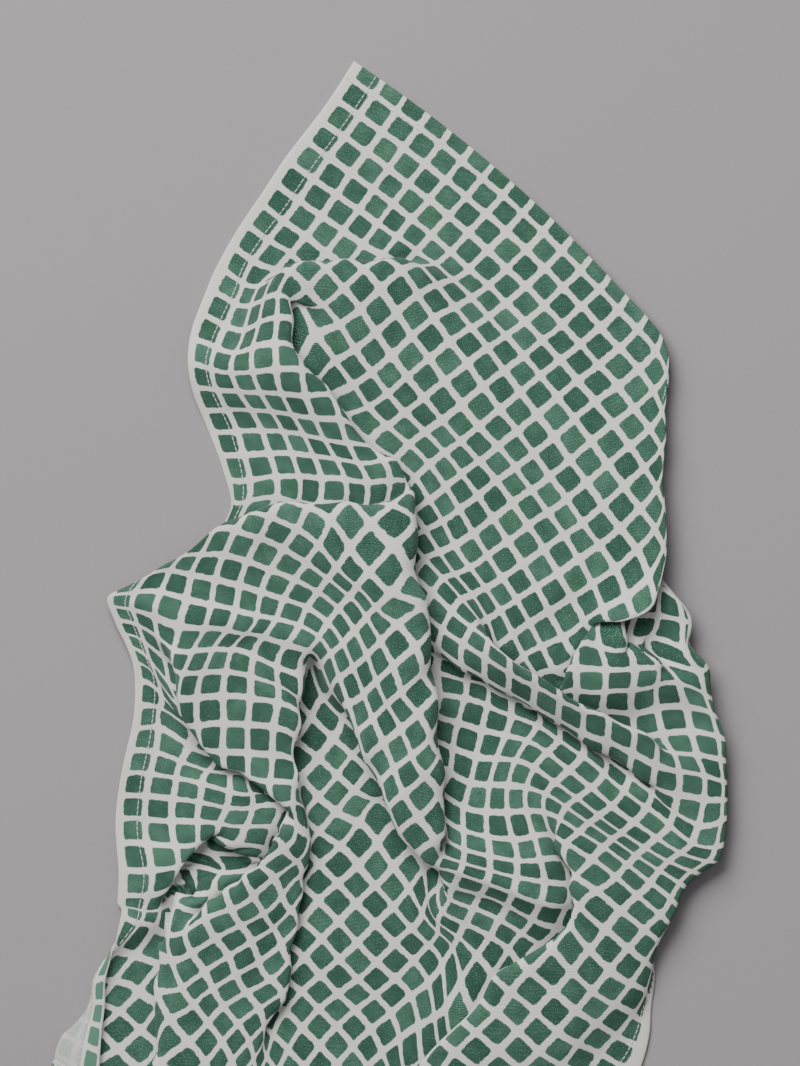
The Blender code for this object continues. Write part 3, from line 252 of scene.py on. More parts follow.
FOLD_ROWS = (
    # the pleat across the shoulder
    (5.9, 5.9, 5.2, 5.2, 401, 256, 10, 5, 1, 0, 1),
    (7.7, 4.7, 6.3, 3.3, 345, 258, 14, 3, 1, 0, 1),
    (8.8, 3.8, 7.2, 2.2, 308, 261, 17, 3, 1, 0, 1),
    (9.3, 3.0, 8.2, 1.7, 285, 266, 16, 3, 1, 0.3, 1),
    # the main ridge
    (10.6, 4.6, 10.9, 5.2, 290, 298, 17, 14, 3, -1, 0.2),
    (11.5, 4.7, 11.1, 5.9, 292, 322, 17, 12, 3, -1, 0.2),
    (13, 4.6, 11.2, 6.5, 301, 360, 18, 11, 2, -1, 0.3),
    (14, 5.6, 11.4, 8.2, 329, 384, 18, 10, 2, -0.8, 0.6),
    (15, 5.95, 11.4, 9.4, 345, 409, 17, 9, 1, -0.8, 0.6),
    (17.5, 7, 11.4, 11.4, 396, 457, 17, 8, 1, -0.85, 0.5),
    (19.3, 7.8, 11.9, 12.6, 414, 487, 18, 7, 1, -0.95, 0.3),
    (21, 8.9, 13.2, 14.8, 419, 540, 20, 5, 1, -1, 0.2),
    (22.3, 10.3, 15, 16.4, 427, 600, 21, 5, 1, -1, 0.25),
    (23, 12, 17.4, 17.3, 433, 650, 21, 4, 1, -1, 0.3),
    (23.7, 13.6, 19.8, 17.4, 439, 700, 21, 3, 1, -1, 0.3),
    (25, 16.1, 22.6, 18.2, 445, 770, 20, 4, 1, -1, 0),
    (26.1, 17.6, 25.5, 18.5, 446, 838, 17, 8, 1, -1, 0),
    # the crest of the cap
    (20.1, 7.5, 19.4, 7.1, 399, 497, 19, 13, 6, 0, 1),
    (21.6, 6.5, 19.4, 4.4, 345, 499, 20, 11, 5, 0.1, 1),
    (22.5, 4.9, 19.6, 2, 290, 501, 20, 8, 4, 0, 1),
    (23.1, 4.1, 20, 1.2, 262, 505, 18, 6, 3, 0, 1),
    (24.1, 2.9, 20.3, -0.2, 228, 520, 13, 3, 1, -0.1, 1),
    # the ribbon's edge
    (27.8, 12, 29.3, 12, 350, 720, 17, 4, 1, 1, 0),
    (27.6, 13.4, 30.3, 13.2, 364, 760, 18, 3, 1, 1, 0),
    (27.6, 15.2, 31.6, 15, 385, 803, 18, 3, 1, 1, 0.1, 0.8),
    (27.6, 16.8, 31.8, 16, 402, 842, 16, 3, 1, 1, 0, 0.7),
    (27.5, 18, 31.4, 17.4, 425, 866, 13, 4, 1, 0.9, -0.3, 0.7),
    # the left of the pocket
    (30.3, 2.5, 30.6, 2.0, 172, 664, 14, 5, 1, 1, 0),
    (31.5, 3, 31.6, 1.8, 177, 693, 14, 4, 1, 1, 0),
    (32.3, 3.7, 33.2, 1.5, 184, 722, 13, 3, 1, 1, -0.1),
    (33.3, 4.3, 35, 1.6, 200, 745, 12, 3, 1, 0.8, -0.5),
    (34.5, 5.3, 36, 2.8, 222, 768, 11, 4, 1, 0.5, -0.8),
    (34.8, 6.4, 36.6, 4.6, 249, 779, 11, 5, 1, 0.4, -0.9),
    (35.3, 7.4, 37.3, 5.6, 272, 797, 12, 5, 1, 0.9, -0.4, 0.5),
    (35.9, 8.1, 38.6, 5.9, 288, 811, 13, 5, 1, 1, 0.1, 0.15),
    (36.8, 7.5, 39.4, 5.8, 279, 828, 13, 6, 1, 1, 0.3, 0.2),
    (37.7, 7.5, 40.2, 5.6, 270, 845, 13, 6, 1, 0.9, 0.4, 0.3),
    (38.2, 8.3, 41.4, 6, 262, 861, 13, 3, 1, 0.8, 0.5, 0.5),
    (39.5, 8.5, 41.7, 6.8, 243, 876, 13, 4, 1, 0.7, 0.6, 0.7),
    (40.5, 8.5, 42.2, 7.4, 224, 889, 12, 5, 1, 0.6, 0.7, 0.8),
    (41.5, 8.7, 42.6, 8.2, 204, 903, 11, 6, 1, 0.6, 0.7),
    # the right of the pocket
    (28.8, 8.8, 29.5, 9.4, 308, 652, 15, 5, 1, -1, 0),
    (30, 8.7, 30.1, 9.8, 303, 690, 14, 4, 1, -1, 0),
    (32, 8.7, 31, 10.4, 301, 728, 13, 3, 1, -1, 0),
    (34, 8.7, 32.3, 11.4, 300, 772, 11, 3, 1, -1, 0, 0.6),
    (35.4, 9.2, 33, 12.4, 306, 806, 8, 3, 1, -1, 0.1, 0.1),
    (36.4, 9.9, 33.8, 13.4, 312, 835, 7, 3, 1, -1, 0.1, 0.1),
    (37, 10.6, 34.8, 14.2, 310, 864, 7, 3, 1, -1, 0.2, 0.2),
    (37.7, 11.7, 35.8, 15, 304, 895, 7, 3, 1, -1, 0.3, 0.6),
    (38.6, 12.8, 37, 15.6, 297, 931, 7, 3, 1, -1, 0.2),
    (39.4, 14.1, 38.2, 16.2, 289, 966, 7, 3, 1, -1, 0.2),
    (40.2, 15.2, 39.2, 17.2, 284, 1001, 7, 3, 1, -1, 0.2),
    # the upper edge of the band
    (14.2, 20.3, 12.2, 19.9, 503, 654, 21, 11, 5, -0.5, 0.85),
    (14.6, 21.3, 11.6, 21.3, 530, 672, 23, 11, 5, -0.5, 0.85),
    (14.7, 21.8, 11.2, 21.8, 543, 679, 24, 11, 5, -0.5, 0.85),
    (14.9, 22.9, 12.8, 24.2, 568, 697, 24, 14, 6, -0.5, 0.85),
    (15.4, 24.2, 13.5, 25.4, 600, 712, 23, 11, 5, -0.4, 0.9),
    (15.5, 26.1, 14.4, 27, 649, 735, 20, 11, 5, -0.3, 0.9),
    # the foot of the band
    (17.1, 18.3, 18.0, 18.3, 466, 674, 7, 2, 1, 0.5, -0.85),
    (17.3, 20, 18.4, 20, 498, 692, 6, 3, 1, 0.5, -0.85),
    (17.4, 22, 18.4, 22, 548, 717, 7, 4, 1, 0.5, -0.85),
    (17.4, 24, 18.4, 24, 592, 750, 9, 5, 1, 0.5, -0.85),
    (17.4, 26, 18.3, 26, 641, 781, 10, 7, 1, 0.5, -0.85),
    # the upper panel's edge over the bundle
    (7.9, 21.3, 9.8, 25.8, 601, 622, 17, 14, 5, 0.2, -0.95, 0.3),
    (7.2, 22, 9.9, 27, 622, 622, 18, 11, 4, 0, -1, 0.7),
    (6.5, 22.2, 9.6, 27.8, 639, 617, 19, 10, 4, -0.3, -0.95, 0.8),
    (5.6, 22.1, 9.2, 28.4, 655, 606, 19, 10, 4, -0.3, -0.95, 0.7),
    (5, 21.8, 8.6, 28.6, 661, 588, 18, 9, 4, -0.35, -0.9, 0.6),
    # the pouch's edge
    (10.3, 24.7, 9.1, 21.2, 582, 642, 18, 12, 6, 1, 0.3, 0.5),
    (10.8, 24.3, 9.6, 21.4, 572, 657, 18, 12, 6, 1, 0.2),
    (11.5, 24, 10.3, 21.8, 566, 673, 18, 11, 6, 1, 0.2),
    # the pouch's top
    (9.9, 26.1, 10.4, 26.7, 613, 637, 20, 11, 5, 0.2, 1),
    (10.3, 26.5, 10.7, 27.4, 628, 645, 21, 10, 5, 0.2, 1),
    (10.8, 27, 11.1, 28, 643, 652, 21, 10, 5, 0.1, 1),
    (11.1, 27.9, 11.4, 28.8, 662, 659, 20, 11, 5, -0.1, 1),
    # the lower right edge
    (25.2, 24.8, 25.2, 23.3, 553, 850, 14, 11, 2, 1, 0.3),
    (26, 26.5, 26.4, 23.4, 566, 883, 15, 9, 2, 1, 0.3),
    (27, 27.3, 27.6, 23.7, 569, 906, 15, 8, 2, 1, 0.3),
    (28, 27.3, 28.6, 23.7, 562, 928, 15, 6, 2, 0.9, 0.5),
    (29, 27, 30, 23.6, 532, 951, 15, 5, 1, 0.6, 0.8),
    (30.4, 26.6, 31.6, 22.5, 492, 975, 14, 5, 1, 0.6, 0.8),
    (33, 26.2, 33.3, 22, 450, 1030, 12, 4, 1, 0.7, 0.7),
    (35, 25.8, 36, 22.5, 412, 1072, 10, 3, 1, 0.7, 0.7),
    # the slit over the hollow
    (41.5, 5.6, 41.4, 5.5, 258, 859, 9, 4, 1, 0, -1),
    (41.3, 5, 41.9, 5.5, 241, 853, 9, 3, 1, 0.1, -1),
    (40.9, 4.3, 42.2, 5.2, 222, 847, 10, 2.5, 1, 0.2, -1, 0.7),
    (40.5, 3.2, 42.4, 5, 208, 838, 10, 2.5, 1, -0.6, -0.8, 0.8),
    (41, 2.5, 43.1, 5.8, 194, 851, 10, 2.5, 1, -0.8, -0.5, 0.7),
    (41.9, 1.9, 43.9, 6.7, 181, 866, 9, 2.5, 1, -0.9, -0.4, 0.5),
    (42.7, 1.6, 44.3, 7.6, 170, 884, 8, 3, 1, -1, -0.2, 0.4),
    # the lower left panel's edge
    (44.1, 9.3, 43.6, 1.6, 162, 908, 8, 5, 1, 1, 0, 0.7),
    (44.1, 10.2, 44.8, 1.8, 158, 938, 8, 3, 1, 1, 0, 0.8),
    (44.5, 11, 45.8, 2.5, 154, 975, 8, 2.5, 1, 1, 0, 0.8),
    (45, 12, 46.8, 3.4, 151, 1015, 8, 2.5, 1, 1, 0, 0.7),
    (45.6, 13.2, 48, 4.4, 149, 1060, 8, 2.5, 1, 1, 0, 0.45),
)

SECTION_SPACING = 2.6         # squares between the stations of one section
WALL_REACH = 5.0              # pixels from a crest to the foot of its wall, below the crest
WALL_CLEAR = 3.0              # least height of a crest's wall foot above the under side
LEAST_TURN = 0.3              # squares of reach, below which hidden cloth makes no turn
# Heights of the hidden cloth above its bed: below the crest, on its way, at its turn, back.
HIDDEN_LAYERS = (5.2, 4.8, 3.0, 1.0)


def mix(start, end, t):
    """The value a share t of the way from start to end."""
    return start + (end - start) * t


def section_stations(section):
    """Stations along one section: row, column, x, y and z of each."""
    start, end = np.array(section[:10]).reshape(2, 5)
    bow = np.array([0.0, 0.0, section.bow_x, section.bow_y, section.rise])
    length = math.hypot(*(end - start)[:2])
    count = max(2, round(length / SECTION_SPACING) + 1)
    t = np.linspace(0.0, 1.0, count)[:, None]
    swell = 4.0 * t * (1.0 - t)
    return list(mix(start, end, t) + bow * swell)


def fold_stations(fold):
    """Stations across one fold: its crest, its wall, the hidden cloth and its under side."""
    hidden_rows = fold.under_row - fold.over_row
    hidden_columns = fold.under_column - fold.over_column
    hidden_px = math.hypot(hidden_rows, hidden_columns) * SQUARE_PX
    norm = math.hypot(fold.toward_x, fold.toward_y)
    toward_x = fold.toward_x / norm
    toward_y = fold.toward_y / norm
    stations = [
        (fold.over_row, fold.over_column, fold.x, fold.y, fold.top),
        (fold.under_row, fold.under_column, fold.x, fold.y, fold.foot),
    ]
    heights = [fold.bed + layer for layer in HIDDEN_LAYERS]
    heights[0] = max(heights[0], min(fold.foot + WALL_CLEAR, 0.5 * (fold.foot + fold.top)))
    wall_px = abs(fold.top - heights[0]) / PIXEL
    reach = 0.5 * (hidden_px - wall_px)
    if reach < LEAST_TURN * SQUARE_PX:
        return stations
    # Pixels of hidden cloth used up at each station, and how far off it lies from the line.
    used = (wall_px, wall_px + 0.5 * reach, wall_px + reach, wall_px + 1.5 * reach)
    turn = reach * fold.share
    away = (WALL_REACH, 0.5 * turn, turn, 0.5 * turn)
    for part, distance, height in zip(used, away, heights):
        t = part / hidden_px
        stations.append((
            fold.over_row + hidden_rows * t,
            fold.over_column + hidden_columns * t,
            fold.x + toward_x * distance,
            fold.y + toward_y * distance,
            height,
        ))
    return stations


def all_stations():
    """Every station of the towel, as one array with a row for each."""
    stations = []
    for row in SECTION_ROWS:
        stations += section_stations(Section(*row))
    for row in FOLD_ROWS:
        stations += fold_stations(Fold(*row))
    return np.array(stations)


# ---- the solid's sheet: the surface through the stations, with its layers moved apart.

STATION_EASE = 0.02           # how far the surface may miss a station, to stay smooth
SETTLE_PASSES = 90
PAIRS_EVERY = 3               # passes between two searches for layers that lie on each other
SAME_SHEET_CELLS = 3          # cells this near on the flat cloth never count as two layers
BLOCK_CELLS = 3               # blocks of the cloth that agree on which of them lies on top
BLOCKS = 100                  # more than the blocks along the cloth
STEEPEST = 0.2                # how level cloth has to be to carry a layer: one is flat
GAP_STEEPEST = 0.6            # how level it is where the gap's height grows no further
FLAT_AREA = 1e-6              # a triangle seen smaller than this stands upright
EDGE_SLACK = 0.02             # share past a triangle's edge that still counts as on it
LAYER_EASE = 0.8              # share of the wanted move that layers make in one pass
THREAD_EASE = 0.25            # and each end of an overstretched thread
OWN_SHARE = 0.8               # of a place's change, evened out over its four neighbours
NEIGHBOUR_SHARE = 0.05
FLOOR = 0.5 * THICKNESS       # the middle of cloth that lies on the ground
RESTING = 0.35                # lower places than this lie flat on the ground
SINK = 2.2                    # the lowest cloth of the tables sinks this far
SINK_FULLY = 3.0              # cloth at this height sinks as far as that
SINK_BELOW = 8.0              # cloth above this height keeps the height of its table
DRIFT = 1.6                   # millimetres that settling may move the cloth sideways
TURNED_SHARE = 0.85           # a diagonal this much shorter than the other crosses a fold
TINY = 1e-12                  # keeps logarithms and divisions clear of nought
SHORTEST = 1e-9               # likewise for lengths and heights, in any unit


def lengths(vectors):
    """The length of each vector, on a last axis of one."""
    return np.linalg.norm(vectors, axis=-1, keepdims=True)


def unit(vectors):
    """Each vector at a length of one."""
    return vectors / np.maximum(lengths(vectors), SHORTEST)


def keep_up(places):
    """Lift what has sunk into the ground back onto it."""
    places[..., 2] = np.maximum(places[..., 2], FLOOR)


def sheet_normals(sheet):
    """Unit normals of a grid of places, on the print side."""
    return unit(np.cross(np.gradient(sheet, axis=0), np.gradient(sheet, axis=1)))


def plate_kernel(points, centres):
    """Bending of a thin plate at points, for a push at each of centres."""
    squared = ((points[:, None, :] - centres[None, :, :]) ** 2).sum(axis=2)
    return 0.5 * squared * np.log(squared + TINY)


def surface_through(stations, cloth):
    """Places, in millimetres, of the cloth coordinates on a smooth sheet through stations."""
    centres = stations[:, :2]
    places = np.column_stack([
        stations[:, 2] * PIXEL,
        -stations[:, 3] * PIXEL,
        stations[:, 4],
    ])
    count = len(centres)
    flat = np.column_stack([np.ones(count), centres])
    matrix = np.zeros((count + 3, count + 3))
    matrix[:count, :count] = plate_kernel(centres, centres) + STATION_EASE * np.eye(count)
    matrix[:count, count:] = flat
    matrix[count:, :count] = flat.T
    weights = np.linalg.solve(matrix, np.vstack([places, np.zeros((3, 3))]))
    bent = plate_kernel(cloth, centres) @ weights[:count]
    return bent + np.column_stack([np.ones(len(cloth)), cloth]) @ weights[count:]


def sheet_triangles(down, across):
    """Corner numbers of the sheet's triangles, and the cell that each lies in."""
    i, j = np.meshgrid(np.arange(down - 1), np.arange(across - 1), indexing="ij")
    corner = (i * across + j).ravel()
    first = np.stack([corner, corner + across, corner + across + 1], axis=1)
    second = np.stack([corner, corner + across + 1, corner + 1], axis=1)
    cells = np.stack([i.ravel(), j.ravel()], axis=1)
    return np.concatenate([first, second]), np.concatenate([cells, cells])


def crossed(first, second):
    """Twice the area between two vectors, as seen straight down."""
    return first[:, 0] * second[:, 1] - second[:, 0] * first[:, 1]


def lying_pairs(places, triangles, cells, across):
    """Each place of the sheet that lies straight over or under one of its triangles."""
    corners = places[triangles][:, :, :2]
    low = corners.min(axis=1)
    high = corners.max(axis=1)
    vertices = []
    faces = []
    for row in range(len(places) // across):
        spots = places[row * across:(row + 1) * across, :2]
        below = (low <= spots.max(axis=0)).all(axis=1)
        above = (high >= spots.min(axis=0)).all(axis=1)
        near = np.nonzero(below & above)[0]
        past_low = (spots[:, None] >= low[near]).all(axis=2)
        past_high = (spots[:, None] <= high[near]).all(axis=2)
        near_rows = np.abs(cells[near, 0] - row) <= SAME_SHEET_CELLS
        near_columns = np.abs(np.arange(across)[:, None] - cells[near, 1]) <= SAME_SHEET_CELLS
        found = np.nonzero(past_low & past_high & ~(near_rows & near_columns))
        vertices.append(found[0] + row * across)
        faces.append(near[found[1]])
    vertex = np.concatenate(vertices)
    face = np.concatenate(faces)
    first, second, third = (places[triangles[face, k]] for k in range(3))
    spot = places[vertex]
    side_a = second - first
    side_b = third - first
    offset = spot - first
    area = crossed(side_a, side_b)
    lies = np.abs(area) > FLAT_AREA
    safe = np.where(lies, area, 1.0)
    weight_b = crossed(offset, side_b) / safe
    weight_c = crossed(side_a, offset) / safe
    weights = np.stack([1.0 - weight_b - weight_c, weight_b, weight_c], axis=1)
    normal = np.cross(side_a, side_b)
    level = np.abs(normal[:, 2]) / (np.linalg.norm(normal, axis=1) + TINY)
    kept = lies & (weights.min(axis=1) > -EDGE_SLACK) & (level > STEEPEST)
    return vertex[kept], face[kept], weights[kept], level[kept]


def gaps_between(places, triangles, vertex, face, weights):
    """Height of each place above the triangle that it is paired with."""
    return places[vertex, 2] - (weights * places[triangles[face]][:, :, 2]).sum(axis=1)


def upper_signs(gaps, vertex, face, cells, across):
    """Plus one where the place belongs on top, agreed between whole blocks of the cloth."""
    row_block = vertex // across // BLOCK_CELLS
    column_block = vertex % across // BLOCK_CELLS
    face_blocks = cells[face] // BLOCK_CELLS
    key = (row_block * BLOCKS + column_block) * BLOCKS + face_blocks[:, 0]
    key = key * BLOCKS + face_blocks[:, 1]
    unique, group = np.unique(key, return_inverse=True)
    total = np.bincount(group, gaps, minlength=len(unique))
    return np.sign(total[group] + SHORTEST)


def part_layers(places, triangles, pairs, signs):
    """Move layers that lie too close apart, half of the way each, in height."""
    vertex, face, weights, level = pairs
    gaps = gaps_between(places, triangles, vertex, face, weights)
    lack = np.maximum(LAYER_GAP / np.maximum(level, GAP_STEEPEST) - signs * gaps, 0.0)
    push = 0.5 * signs * lack
    total = np.zeros(len(places))
    share = np.zeros(len(places))
    pressed = (lack > 0.0).astype(float)
    np.add.at(total, vertex, push)
    np.add.at(share, vertex, pressed)
    for corner in range(3):
        np.add.at(total, triangles[face, corner], -push * weights[:, corner])
        np.add.at(share, triangles[face, corner], pressed * weights[:, corner])
    places[:, 2] += LAYER_EASE * total / np.maximum(share, 1.0)
    keep_up(places)


def hold_edges(sheet, axis, rest):
    """Draw the ends of each thread between neighbouring places in, where it is overstretched."""
    places = np.moveaxis(sheet, axis, 0)
    for first in (0, 1):
        near = places[first:-1:2]
        far = places[first + 1::2]
        span = far - near
        length = lengths(span)
        over = np.maximum(length - rest * STRETCH_LIMIT, 0.0) / np.maximum(length, SHORTEST)
        near += THREAD_EASE * over * span
        far -= THREAD_EASE * over * span


def even_out(change):
    """Spread each place's change a little over its neighbours on the cloth."""
    padded = np.pad(change, ((1, 1), (1, 1), (0, 0)), mode="edge")
    around = padded[:-2, 1:-1] + padded[2:, 1:-1] + padded[1:-1, :-2] + padded[1:-1, 2:]
    return OWN_SHARE * change + NEIGHBOUR_SHARE * around


def sunk(sheet):
    """The sheet with its lowest cloth let down onto the ground."""
    lower = sheet.copy()
    share = (SINK_BELOW - sheet[:, :, 2]) / (SINK_BELOW - SINK_FULLY)
    lower[:, :, 2] -= SINK * np.clip(share, 0.0, 1.0)
    return lower


def grid_places(rows, columns):
    """The row and column of each crossing of these grid lines, one after another."""
    return np.stack(np.meshgrid(rows, columns, indexing="ij"), axis=2).reshape(-1, 2)


def table_sheet(rows, columns):
    """The smooth folded sheet of the tables on these grid lines, in millimetres."""
    places = surface_through(all_stations(), grid_places(rows, columns))
    return sunk(places.reshape(len(rows), len(columns), 3))


def settled(table, rest_down, rest_across):
    """The table's sheet with its layers clear of each other and no thread overstretched."""
    down, across = table.shape[:2]
    triangles, cells = sheet_triangles(down, across)
    sheet = table.copy()
    keep_up(sheet)
    for step in range(SETTLE_PASSES):
        places = sheet.reshape(-1, 3)
        if step % PAIRS_EVERY == 0:
            pairs = lying_pairs(places, triangles, cells, across)
            gaps = gaps_between(places, triangles, *pairs[:3])
            signs = upper_signs(gaps, pairs[0], pairs[1], cells, across)
        part_layers(places, triangles, pairs, signs)
        hold_edges(sheet, 0, rest_down)
        hold_edges(sheet, 1, rest_across)
        change = even_out(sheet - table)
        drift = lengths(change[:, :, :2])
        change[:, :, :2] *= DRIFT / np.maximum(drift, DRIFT)
        sheet = table + change
        keep_up(sheet)
    return sheet


def thick_places(sheet):
    """Places of the print side, and then of the under side, of the thick sheet."""
    offset = 0.5 * THICKNESS * sheet_normals(sheet)
    places = np.concatenate([(sheet + offset).reshape(-1, 3), (sheet - offset).reshape(-1, 3)])
    places[:, 2] = np.where(places[:, 2] < RESTING, 0.0, places[:, 2])
    return places


def folded_triangles(sheet):
    """Corner numbers of the sheet's triangles, split along its folds and not across them."""
    down, across = sheet.shape[:2]
    corner = np.arange(down * across).reshape(down, across)[:-1, :-1].ravel()
    beside = corner + 1
    below = corner + across
    opposite = below + 1
    # A fold that runs along one diagonal of a cell draws the ends of the other one together.
    one_way = np.linalg.norm(sheet[1:, 1:] - sheet[:-1, :-1], axis=2).ravel()
    other_way = np.linalg.norm(sheet[1:, :-1] - sheet[:-1, 1:], axis=2).ravel()
    turned = one_way < TURNED_SHARE * other_way
    first = np.stack([corner, below, np.where(turned, beside, opposite)], axis=1)
    second = np.stack([np.where(turned, below, corner), opposite, beside], axis=1)
    return np.concatenate([first, second])


def rim_triangles(down, across):
    """Triangles of the narrow rim between the edges of the two sides, all the way round."""
    numbers = np.arange(down * across).reshape(down, across)
    edge = np.concatenate([
        numbers[:-1, 0],
        numbers[-1, :-1],
        numbers[:0:-1, -1],
        numbers[0, :0:-1],
    ])
    following = np.roll(edge, -1)
    edge_below = edge + down * across
    following_below = following + down * across
    return np.concatenate([
        np.stack([following, edge, edge_below], axis=1),
        np.stack([following, edge_below, following_below], axis=1),
    ])


def shift_to_origin(places):
    """The move that puts the middle of the towel's foot at the origin, in millimetres."""
    low = places.min(axis=0)
    high = places.max(axis=0)
    return -np.array([0.5 * (low[0] + high[0]), 0.5 * (low[1] + high[1]), low[2]])


# ---- fine cloth: the same sheet on close grid lines, with its hems and creases.

FINE_CELLS = 4                # grid cells for each printed square
FINE_GAP = 1.5                # between the middles of two layers of the fine cloth
FINE_PASSES = 12
CLOSEST_LINES = 0.06          # squares that an even grid line keeps from a line of the hem
NEAR_CLOTH_MM = 24.0          # cloth this near on the panel never counts as another layer
RAY_START = 0.02              # millimetres off the cloth, where the search for a layer starts

# The hem, seen across: distance from the panel's edge, and the outer and inner side's
# height over the middle of the cloth, in millimetres.
HemLine = namedtuple("HemLine", "distance print_side reverse_side")
HEM_PROFILE = (
    HemLine(0.0, 0.35, -0.45),
    HemLine(0.9, 0.62, -0.85),
    HemLine(8.9, 0.66, -0.95),
    HemLine(10.4, 0.42, -0.75),
    HemLine(11.4, 0.50, -0.85),
    HemLine(12.0, 0.40, -0.40),
)
HEM_WIDTH = 11.6
STITCH_LINE = 10.4            # on the profile above
WIDE_HEM = 1.26               # the left hem is this much wider than its profile

# A crease is a soft trough, or a ridge where its depth is negative, pressed into the cloth
# between two places of it.  depth and width are in millimetres.
Crease = namedtuple("Crease", "row column row_end column_end depth width")
CREASE_ROWS = (
    (27.4, 18.4, 27.3, 24.2, -2.4, 6),
    (29, 18.8, 29, 23.4, 1.9, 8),
    (28, -0.5, 28.1, 8.8, -2.2, 6),
    (29, 0.5, 29.3, 7.5, 1.9, 6),
    (5.2, 6.2, 4.6, 8.6, -0.8, 6),
    (6, 7, 7.2, 9.6, 0.8, 6),
    (5, 8.2, 6.8, 10.4, 0.7, 6),
    (11.6, 16, 12.4, 19, -0.8, 5),
    (7, 18.4, 10.6, 19.4, -1, 5),
    (7.2, 19.6, 10.6, 20.3, 0.9, 6),
    (12.8, -0.5, 13.4, 4.2, -0.9, 6),
    (13, 3.5, 17.5, 6, -0.6, 7),
    (22, 3.5, 23.5, 8.5, -0.8, 8),
    (40, 9.2, 38, 8.4, -0.8, 6),
    (3, 8, 6.5, 14, 0.7, 9),
    (9, 14.5, 12, 19, 0.9, 8),
    (5, 15, 9, 18.5, 0.7, 9),
    (16, 1.5, 18.5, 4.5, 0.8, 9),
    (24.5, 4, 26.5, 9, 0.8, 8),
    (38.5, 11, 42, 14, 1, 9),
    (20, 20, 24, 27, 0.8, 9),
)

CREASE_FADE = 6.0             # how soon a crease is at its full depth, past either end

# Cotton rumples at a few scales: wavelength and height of each, in millimetres.
Rumple = namedtuple("Rumple", "wavelength height")
RUMPLES = (Rumple(70, 0.9), Rumple(32, 0.5), Rumple(15, 0.22))
RUMPLE_SHIFT = 37.0           # keeps the scales' noise from lining up


def fine_lines(first, last, first_width):
    """Grid lines on the cloth between two hems: even ones, and those of the hem's profile."""
    lines = np.linspace(first, last, round((last - first) * FINE_CELLS) + 1)
    steps = np.array([line.distance / PITCH for line in HEM_PROFILE])
    wanted = np.concatenate([first + steps * first_width, last - steps])
    for place in wanted:
        lines = lines[np.abs(lines - place) > CLOSEST_LINES]
    return np.sort(np.concatenate([lines, wanted]))


def catmull_weights(old, new):
    """How much each of the even old places counts at each new place, on a smooth curve."""
    step = old[1] - old[0]
    at = (new - old[0]) / step
    base = np.clip(np.floor(at).astype(int), 0, len(old) - 2)
    t = at - base
    shares = (
        -0.5 * t + t ** 2 - 0.5 * t ** 3,
        1.0 - 2.5 * t ** 2 + 1.5 * t ** 3,
        0.5 * t + 2.0 * t ** 2 - 1.5 * t ** 3,
        -0.5 * t ** 2 + 0.5 * t ** 3,
    )
    weights = np.zeros((len(new), len(old)))
    for offset, share in zip((-1, 0, 1, 2), shares):
        column = np.clip(base + offset, 0, len(old) - 1)
        np.add.at(weights, (np.arange(len(new)), column), share)
    return weights


def lift_apart(sheet, cloth_mm, triangles):
    """Move layers of the fine cloth that nearly touch a little apart, up and down."""
    places = sheet.reshape(-1, 3)
    tree = BVHTree.FromPolygons(places.tolist(), triangles.tolist())
    push = np.zeros(len(places))
    middle = cloth_mm[triangles].mean(axis=1)
    for number, place in enumerate(places):
        for side in (1.0, -1.0):
            start = Vector(place) + Vector((0.0, 0.0, RAY_START * side))
            _, _, face, gap = tree.ray_cast(start, Vector((0.0, 0.0, side)), FINE_GAP)
            if face is None:
                continue
            apart = np.abs(cloth_mm[number] - middle[face]).max()
            if apart > NEAR_CLOTH_MM:
                push[number] -= 0.5 * side * (FINE_GAP - gap)
    return push.reshape(sheet.shape[:2])


def rumpled(cloth_mm):
    """Height of the fine rumples and creases at each place of the cloth."""
    height = np.zeros(len(cloth_mm))
    for number, rumple in enumerate(RUMPLES):
        waves = cloth_mm / rumple.wavelength + RUMPLE_SHIFT * number
        height += rumple.height * np.array([noise.noise((x, y, 0.5)) for y, x in waves])
    for crease in (Crease(*row) for row in CREASE_ROWS):
        start = np.array([crease.row, crease.column]) * PITCH
        along = np.array([crease.row_end, crease.column_end]) * PITCH - start
        length = np.linalg.norm(along)
        t = np.clip((cloth_mm - start) @ along / length ** 2, 0.0, 1.0)
        away = np.linalg.norm(cloth_mm - start - t[:, None] * along, axis=1)
        fade = np.minimum(CREASE_FADE * t * (1.0 - t), 1.0)
        height -= crease.depth * fade * np.exp(-(away / crease.width) ** 2)
    return height


